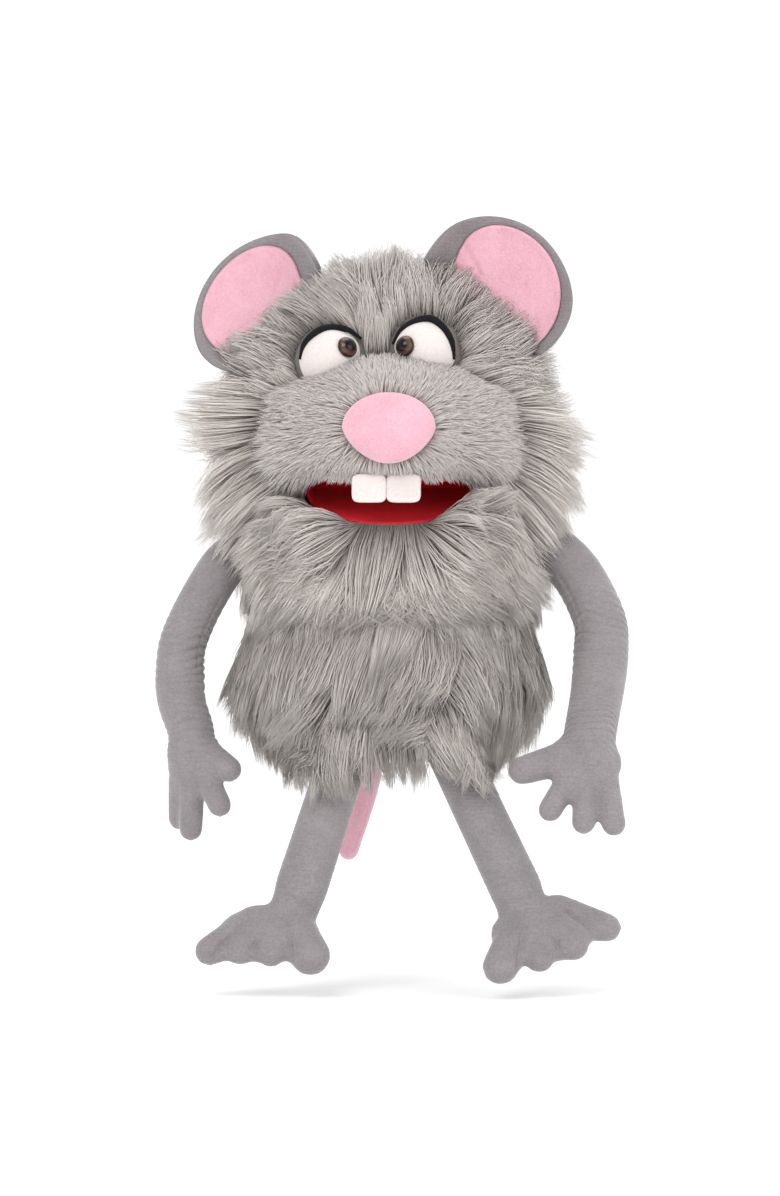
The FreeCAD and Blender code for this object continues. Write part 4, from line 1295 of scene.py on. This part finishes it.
def build_mouth_corner(side):
    """The red fold between the mouth's roof and its floor."""
    sign = 1 if side == "left" else -1
    along = np.linspace(MOUTH_REAR - 1.0, MUZZLE_Y - 2.0, 16)
    share = np.linspace(0, 1, 9)[:, None]
    upper = np.stack([np.full(16, 36.0), along, np.full(16, 111.4)], axis=-1)
    lower = jaw_to_row(np.stack([np.full(16, 35.0), along - MOUTH_REAR, np.full(16, JAW_TOP - 1.0)], axis=-1))
    fold = upper[None] * (1 - share[..., None]) + lower[None] * share[..., None]
    fold[..., 0] += 2.5 * np.sin(share * math.pi)
    fold[..., 0] *= sign
    corner = folded_sheet(f"mouth_corner_{side}", fold, 1.0, "red_felt")
    finish_bridge(corner, ("head", "jaw"), (sign * 36.0, -22.0, 111.5), (sign * 36.0, -22.0, 101.0),
                  "red_felt")


# ------------------------------------------------------------------ stuffed limbs

# Each hand hangs from its wrist, tipped forwards and turned inwards by these degrees.
HAND_SWING = {"left": 26.0, "right": 8.0}
HAND_YAW = {"left": 0.0, "right": -30.0}
# Places in the hand as (across, down) from the wrist; a finger's ends also say how far ahead they lie.
HAND_SHAPE = {
    "left": {
        "palm": (-3.0, -13.0), "palm_half": (17.5, 8.6, 15.5),
        "fingers": (((-10.5, -22.0, 0), (-18.6, -36.5, 0)), ((-2.0, -24.0, 0), (-3.6, -42.5, 0)),
                    ((7.5, -22.0, 0), (10.0, -43.5, 0))),
        "finger_r": 5.6, "thumb": ((-7.0, -9.0), (-31.0, -17.4)), "thumb_r": 6.6,
    },
    "right": {
        "palm": (3.2, -13.0), "palm_half": (14.5, 8.2, 15.5),
        "fingers": (((10.0, -20.0, 0), (19.0, -33.0, 0)), ((2.8, -24.0, 0), (4.2, -44.5, 0)),
                    ((-5.5, -22.0, 2), (-4.5, -39.5, 4))),
        "finger_r": 5.6, "thumb": ((6.0, -8.0), (23.0, -16.4)), "thumb_r": 6.0,
    },
}
# The arm's middle line before and after the elbow.
ARM_MIDDLE = {
    "left": (((61.0, -6.0, 81.0), (74.0, -7.0, 78.0), (86.5, -12.0, 67.0)),
             ((97.6, -27.0, 32.0), (95.4, -38.0, 14.0))),
    "right": (((-60.0, -4.0, 79.0), (-74.0, -5.0, 74.0), (-85.5, -8.0, 58.0)),
              ((-97.6, -15.0, 20.0), (-96.6, -18.0, 7.0))),
}
ARM_R = {"left": 12.0, "right": 10.8}
# Each toe as (across, down, radius) of its end from the ankle; "body" is the foot's own lean to the side.
FOOT_SHAPE = {
    "left": {"body": 10.0,
             "toes": ((-8.3, -32.0, 8.4), (9.7, -28.7, 6.9), (25.4, -23.7, 7.0), (41.0, -16.0, 6.8))},
    "right": {"body": -13.0,
              "toes": ((-41.0, -25.5, 7.0), (-27.0, -26.0, 6.4), (-13.0, -26.7, 6.5), (5.0, -27.4, 9.4))},
}
FOOT_PITCH = 40.0
SOLE_Z = -9.0
LEG_R = 11.8
LEG_BACK = 13.0


def turned_matrix(*turns):
    """A rotation made of turns about named axes, the last one applied first."""
    matrix = np.eye(3)
    for axis, degrees in turns:
        matrix = matrix @ np.array(Matrix.Rotation(math.radians(degrees), 3, axis))
    return matrix


def ball_part(centre, half, matrix):
    """One turned ellipsoid of a limb, as points and faces."""
    points = egg_points(np.zeros(3), np.asarray(half, dtype=float), 14, 28)
    return points @ matrix.T + centre, egg_faces(14, 28)


def tube_part(line, radii, around=28):
    """One round-ended tube of a limb, as points and faces: its ends close in half balls."""
    line = np.asarray(line, dtype=float)
    radii = np.asarray(radii, dtype=float)
    start, end = unit(line[0] - line[1]), unit(line[-1] - line[-2])
    angles = np.linspace(math.pi / 2, 0.15, 6)
    head = [(line[0] + start * radii[0] * math.sin(a), radii[0] * math.cos(a)) for a in angles]
    tail = [(line[-1] + end * radii[-1] * math.sin(a), radii[-1] * math.cos(a)) for a in angles[::-1]]
    middles = np.array([item[0] for item in head] + list(line) + [item[0] for item in tail])
    sizes = np.array([item[1] for item in head] + list(radii) + [item[1] for item in tail])
    tangents = unit(np.gradient(middles, axis=0))
    runs_ahead = abs(tangents[len(tangents) // 2][1]) >= 0.8
    across = unit(np.cross(tangents, X_WAY if runs_ahead else Y_WAY))
    points = circles(middles, across, np.cross(across, tangents), sizes, sizes, around)
    return points, grid_faces(len(middles), around, True)


def merged(parts):
    points, faces, count = [], [], 0
    for part_points, part_faces in parts:
        points.append(part_points)
        faces += [tuple(corner + count for corner in face) for face in part_faces]
        count += len(part_points)
    return np.concatenate(points), faces


def stuffed(name, parts, material, voxel=1.6, rounds=5, cap_mm=1.2):
    """A plush skin over overlapping parts: fused, softened where they meet, puffed up and refined."""
    points, faces = merged(parts)
    piece = mesh_piece(name, points, faces, material)
    tidy_closed(piece)
    use_modifier(piece, "REMESH", mode="VOXEL", voxel_size=voxel * MM, adaptivity=0)
    relax(piece, rounds)
    inflate(piece, cap_mm)
    relax(piece, 1)
    use_modifier(piece, "SUBSURF", levels=1, render_levels=1)
    return piece


def dent(piece, line, depth, width):
    """Press a stitched crease into a skin along a line."""
    points, normals = points_of(piece.data) / MM, normals_of(piece.data)
    line = np.asarray(line, dtype=float)
    nearest_gap = np.full(len(points), 1e9)
    for a, b in zip(line[:-1], line[1:]):
        span = b - a
        share = np.clip(((points - a) @ span) / (span @ span), 0, 1)
        nearest_gap = np.minimum(nearest_gap, np.linalg.norm(points - a - share[:, None] * span, axis=1))
    press = depth * np.exp(-(nearest_gap / width) ** 2)
    set_points(piece.data, (points - normals * press[:, None]) * MM)


def rumple(piece, centre, reach, depth, spacing, direction, seed):
    """Soft wrinkles across a limb near a bend."""
    points, normals = points_of(piece.data) / MM, normals_of(piece.data)
    rng = np.random.default_rng(seed)
    near = np.exp(-(np.linalg.norm(points - centre, axis=1) / reach) ** 2)
    phase = points @ unit(np.asarray(direction, dtype=float)) * 2 * math.pi / spacing
    phase += drift_field(points, rng, 24) * 1.4
    wave = np.abs(np.sin(phase)) ** 0.7 - 0.6
    set_points(piece.data, (points + normals * (wave * near * depth)[:, None]) * MM)


def hand_frame(side):
    inward = -1 if side == "left" else 1
    return turned_matrix(("Z", HAND_YAW[side] * inward), ("X", -HAND_SWING[side]))


def palm_place(side):
    """A place a little way into the hand, on its own middle line."""
    return joint_place(f"wrist_{side}_bend") + hand_frame(side) @ np.array([0.0, 0.0, -10.0])


def hand_parts(side):
    shape = HAND_SHAPE[side]
    matrix = hand_frame(side)
    wrist = joint_place(f"wrist_{side}_bend")

    def place(spot, ahead=0.0):
        return wrist + matrix @ np.array([spot[0], ahead, spot[1]])

    parts = [ball_part(place(shape["palm"]), shape["palm_half"], matrix)]
    for root_spot, tip_spot in shape["fingers"]:
        line = np.linspace(place(root_spot, root_spot[2]), place(tip_spot, tip_spot[2] - 1.0), 8)
        parts.append(tube_part(line, np.full(8, shape["finger_r"])))
    root_spot, tip_spot = shape["thumb"]
    line = np.linspace(place(root_spot), place(tip_spot, -1.5), 8)
    parts.append(tube_part(line, np.linspace(shape["thumb_r"] + 1.6, shape["thumb_r"], 8)))
    return parts


def arm_line(side):
    elbow, wrist = joint_place(f"elbow_{side}_bend"), joint_place(f"wrist_{side}_bend")
    above, below = ARM_MIDDLE[side]
    return curve_through([*above, elbow, *below, wrist, palm_place(side)], 60)


def split_piece(piece, name, place, direction):
    """Cut a closed skin in two flat-capped halves; the new one keeps what lies ahead of the plane."""
    other = add_object(name, piece.data.copy())
    for half, ahead in ((piece, False), (other, True)):
        with editing(half) as work:
            geometry = work.verts[:] + work.edges[:] + work.faces[:]
            bmesh.ops.bisect_plane(work, geom=geometry, plane_co=Vector(place) * MM,
                                   plane_no=Vector(direction), clear_inner=ahead, clear_outer=not ahead)
            rim = [edge for edge in work.edges if edge.is_boundary]
            for edge in rim:
                edge.smooth = False
            for face in bmesh.ops.holes_fill(work, edges=rim, sides=0)["faces"]:
                face.smooth = False
    return other


def build_arm(side):
    line = arm_line(side)
    share = np.linspace(0, 1, len(line))
    thick = ARM_R[side]
    radii = thick * (0.86 + 0.14 * smooth_step(0, 0.2, share)) + 0.7 * np.exp(-((share - 0.62) / 0.12) ** 2)
    parts = [tube_part(line, radii)] + hand_parts(side)
    arm = stuffed(f"upper_arm_skin_{side}", parts, "grey_plush", voxel=1.25, rounds=4)
    elbow, wrist = joint_place(f"elbow_{side}_bend"), joint_place(f"wrist_{side}_bend")
    inward = -1 if side == "left" else 1
    seam = [spot + np.array([inward * thick * 0.75, -thick * 0.62, 0.0]) for spot in line[18:48]]
    dent(arm, seam, 0.7, 0.9)
    along = unit(wrist - elbow)
    rumple(arm, elbow + np.array([inward * 6.0, -4.0, -6.0]), 18, 1.5, 7.5, along, 5)
    rumple(arm, wrist + np.array([0.0, -6.0, 4.0]), 14, 1.1, 6.5, along, 6)
    lower = split_piece(arm, f"forearm_skin_{side}", (elbow + wrist) / 2, along)
    upper_way = unit(elbow - joint_place(f"arm_{side}_raise"))
    finish_bridge(arm, (f"upper_arm_{side}", f"forearm_{side}"), elbow - upper_way * 15, elbow + along * 15,
                  "grey_plush", f"upper_arm_cover_{side}", f"upper_arm_filling_{side}",
                  f"forearm_cover_{side}", f"forearm_filling_{side}")
    finish_bridge(lower, (f"forearm_{side}", f"hand_{side}"), wrist - along * 11, palm_place(side),
                  "grey_plush", f"hand_cover_{side}")


def build_leg(side):
    hip, ankle = joint_place(f"leg_{side}_spread"), joint_place(f"ankle_{side}_bend")
    along = unit(ankle - hip)
    shape = FOOT_SHAPE[side]
    matrix = turned_matrix(("X", FOOT_PITCH))
    pitch = math.radians(FOOT_PITCH)

    def place(x, y, z):
        return ankle + matrix @ np.array([x, y, z])

    line = np.linspace(hip - along * 4, ankle - along * 1, 24)
    line[:, 1] += LEG_BACK * smooth_step(0.75, 0.0, np.linspace(0, 1, 24))
    parts = [tube_part(line, LEG_R * (0.95 + 0.08 * np.linspace(0, 1, 24)))]
    body = shape["body"]
    heel = [ankle - along * 4, ankle + along * 1, place(body * 0.25, -6, -7), place(body * 0.6, -13, -9)]
    parts.append(tube_part(curve_through(heel, 10), np.linspace(LEG_R, 11.0, 10)))
    parts.append(ball_part(place(body * 1.1, -18.5, -9.0), (24.0, 16.0, 9.5), matrix))
    toes = []
    for across, down, radius in shape["toes"]:
        ahead = (down + SOLE_Z * -math.cos(pitch)) / math.sin(pitch)
        toes.append(np.array([across, ahead, SOLE_Z]))
        tube = np.linspace(place(body * 0.4 + across * 0.35, ahead * 0.45, SOLE_Z), place(*toes[-1]), 6)
        parts.append(tube_part(tube, np.linspace(10.0, radius, 6)))
    leg = stuffed(f"leg_skin_{side}", parts, "grey_plush")
    for one, other in zip(toes, toes[1:]):
        tip = (one + other) / 2
        crease = [place(tip[0] * share + body * 0.5 * (1 - share), tip[1] * share, tip[2] + rise)
                  for share, rise in ((0.62, 8.5), (0.8, 7.5), (1.0, 6.0), (1.2, 2.0))]
        dent(leg, crease, 2.0, 1.5)
    rumple(leg, ankle + np.array([0.0, -8.0, 5.0]), 13, 0.6, 7.0, along, 7)
    finish_bridge(leg, (f"leg_{side}", f"foot_{side}"), ankle - along * 12, place(0, -8, -7),
                  "grey_plush", f"leg_cover_{side}", f"leg_filling_{side}", f"foot_cover_{side}")


TAIL_TIP = np.array([-20.0, 72.0, -68.0])
TAIL_R = 4.9


def build_tail():
    start, bend = joint_place("tail_wag"), joint_place("tail_curl")
    line = curve_through([start + np.array([1.0, -6.0, 10.0]), start, bend, TAIL_TIP], 40)
    tube = tube_part(line, np.full(40, TAIL_R), 20)
    tail = stuffed("tail_skin", [tube], "pink_plush", voxel=1.1, rounds=3, cap_mm=0.5)
    dent(tail, line + np.array([2.5, -TAIL_R, 0.0]), 0.5, 0.7)
    finish_bridge(tail, ("tail_root", "tail_end"), bend - unit(bend - start) * 8,
                  bend + unit(TAIL_TIP - bend) * 8, "pink_plush", "tail_base", "tail_tip")


# ------------------------------------------------------------------ ears

# Directions round each ear in radians: its grey edge is widest at "band" and its lobe hangs at "lobe".
EARS = {
    "left": {"angle": 50.7, "flop": 6.0, "reach": 12.4, "band": 1.66, "lobe": -1.35, "lobe_mm": 9.0},
    "right": {"angle": 139.0, "flop": 38.0, "reach": 19.0, "band": -1.80, "lobe": 1.75, "lobe_mm": 3.0},
}
EAR_R = 36.0
EAR_CUP_R = 85.0
EAR_CURL_R = 15.0
EAR_TRIM = 1.2
# Each crease of the pink sheet: its direction, and where it starts and ends along it.
EAR_CREASES = ((1.2, 10.0, 26.0), (2.3, 4.0, 20.0), (0.5, 20.0, 31.0), (-1.9, 10.0, 24.0))
EAR_SHIFT = -4.0


def ear_to_row(side, points):
    """From the ear drawn with its tip along +X and its face towards +Z to its place on the head."""
    shape = EARS[side]
    matrix = turned_matrix(("Y", -shape["angle"]), ("X", 90), ("Y", shape["flop"]))
    return np.asarray(points) @ matrix.T + joint_place(f"ear_{side}_flop")


def bump_at(angles, middle, width):
    """1 at one direction round the ear, fading to both sides."""
    gap = np.abs((angles - middle + math.pi) % (2 * math.pi) - math.pi)
    return np.exp(-(gap / width) ** 2)


def ear_profile(side, angles):
    """For each direction: how far the ear's sheet runs, where it starts to curl, and the pink's edge."""
    shape = EARS[side]
    band = bump_at(angles, shape["band"], 0.62)
    lobe = bump_at(angles, shape["lobe"], 0.60)
    length = EAR_R + 1.5 + 7.0 * band + shape["lobe_mm"] * lobe
    curl_from = EAR_R - 9.0 - 4.0 * band
    pink_to = EAR_R - 1.0 - 12.5 * band + (shape["lobe_mm"] - 8.0) * lobe
    return length, curl_from, pink_to


def ear_surface(side, angles, distance, offset):
    """Points on the ear's sheet at a distance from its middle in each direction, offset towards its face."""
    shape = EARS[side]
    _, curl_from, _ = ear_profile(side, angles)
    flat = np.minimum(distance, curl_from)
    rise = EAR_CUP_R - np.sqrt(EAR_CUP_R ** 2 - flat ** 2)
    slope = flat / np.sqrt(EAR_CUP_R ** 2 - flat ** 2)
    base_turn = np.arctan(slope)
    lean = base_turn + np.maximum(distance - curl_from, 0) / EAR_CURL_R
    out = flat + EAR_CURL_R * (np.sin(lean) - np.sin(base_turn)) - offset * np.sin(lean)
    up = rise + EAR_CURL_R * (np.cos(base_turn) - np.cos(lean)) + offset * np.cos(lean)
    x = shape["reach"] + out * np.cos(angles)
    y = out * np.sin(angles)
    return np.stack([x, y, up + EAR_SHIFT], axis=-1)


def ear_sheet(name, side, pink, front, back, material):
    """A closed sheet between two offsets, from the ear's middle to the pink's edge or to its own."""
    rings, around = 26, 144
    angles = np.linspace(-math.pi, math.pi, around, endpoint=False)
    length, _, pink_to = ear_profile(side, angles)
    limit = pink_to if pink else length
    trim = (EARS[side]["reach"] - EAR_TRIM) / np.maximum(-np.cos(angles), 1e-6)
    limit = np.where(np.cos(angles) < 0, np.minimum(limit, trim), limit)
    top, bottom = [], []
    for ring in range(rings + 1):
        distance = limit * ring / rings
        swell = math.sqrt(max(0.0, 1 - (ring / rings) ** 8))
        top.append(ear_surface(side, angles, distance, (front - back) / 2 * swell + (front + back) / 2))
        bottom.append(ear_surface(side, angles, distance, (back - front) / 2 * swell + (front + back) / 2))
    points = np.concatenate(top + bottom[::-1])
    faces = grid_faces(2 * rings + 2, around, True)
    piece = mesh_piece(name, ear_to_row(side, points), faces, material)
    tidy_closed(piece)
    return piece


def build_ear(side):
    shell = ear_sheet(f"ear_shell_{side}", side, False, 1.3, -1.7, "grey_plush")
    finish_slot(shell, f"ear_{side}", "grey_plush", f"ear_back_{side}")
    lining = ear_sheet(f"ear_lining_{side}", side, True, 3.2, 1.0, "pink_plush")
    for turn, start, end in EAR_CREASES:
        angles = np.full(4, turn * -np.sign(EARS[side]["lobe"]))
        crease = ear_surface(side, angles, np.linspace(start, end, 4), 3.2)
        dent(lining, ear_to_row(side, crease), 1.0, 1.5)
    finish_slot(lining, f"ear_{side}", "pink_plush", f"ear_front_{side}")


# ------------------------------------------------------------------ stage

def build_stage():
    """A seamless pale sweep under and behind the puppet, soft lamps and a bright surround."""
    floor_z = CAD_BOX[0][2] - 0.004
    bend_at, bend = 1.6, 1.2
    profile = [(-4.0, floor_z), (bend_at, floor_z)]
    for step in range(1, 13):
        turn = math.pi / 2 * step / 12
        profile.append((bend_at + bend * math.sin(turn), floor_z + bend * (1 - math.cos(turn))))
    profile.append((bend_at + bend, 5.0))
    points = [(x / MM, y / MM, z / MM) for x in (-5.0, 5.0) for y, z in profile]
    sweep = mesh_piece("studio_sweep", points, grid_faces(2, len(profile), False), "board")
    material, _, _, shader = new_material("pale_paper")
    set_inputs(shader, {"Base Color": (0.95, 0.95, 0.95, 1), "Roughness": 0.9,
                        "Emission Color": (1, 1, 1, 1), "Emission Strength": 0.22})
    sweep.data.materials.clear()
    sweep.data.materials.append(material)

    world = bpy.data.worlds.new("studio")
    bpy.context.scene.world = world
    world.use_nodes = True
    set_inputs(world.node_tree.nodes["Background"], {"Color": (1, 1, 1, 1), "Strength": 0.67})

    centre = Vector((0, 0, 0.06))
    for name, place, size, power in (
        ("key", (-0.55, -1.3, 1.15), 0.9, 12.5),
        ("fill", (1.1, -1.1, 0.55), 1.1, 6.3),
        ("top", (0.0, 0.4, 1.6), 1.0, 7),
    ):
        light = bpy.data.lights.new(name, "AREA")
        light.size = size
        light.energy = power
        lamp = add_object(name, light)
        lamp.location = place
        lamp.rotation_euler = (centre - Vector(place)).to_track_quat("-Z", "Y").to_euler()


def set_colours():
    """Show colours as they are, without a film response."""
    bpy.context.scene.view_settings.view_transform = "Standard"


def build_camera():
    """Straight in front of the puppet and slightly above it, framing it as a catalogue picture does."""
    camera = bpy.data.cameras.new("camera")
    eye = add_object("camera", camera)
    target = Vector((0.0, -0.02, 0.0555))
    distance = 2.2
    elevation = math.radians(1)
    eye.location = target + Vector((0, -math.cos(elevation), math.sin(elevation))) * distance
    eye.rotation_euler = (target - eye.location).to_track_quat("-Z", "Y").to_euler()
    camera.sensor_fit = "VERTICAL"
    frame_height = 0.5465
    camera.sensor_height = 24
    camera.lens = camera.sensor_height * (distance - 0.03) / frame_height
    bpy.context.scene.camera = eye


dress_frame()
build_torso()
build_head()
build_muzzle()
build_nose()
build_teeth()
for side in SIDES:
    build_eyeball(side)
    build_bead(side)
    build_rim(side)
build_jaw()
build_chin_fur()
build_mouth()
for side in SIDES:
    build_cheek(side)
    build_mouth_corner(side)
    build_ear(side)
    build_arm(side)
    build_leg(side)
build_tail()
build_stage()
set_colours()
build_camera()
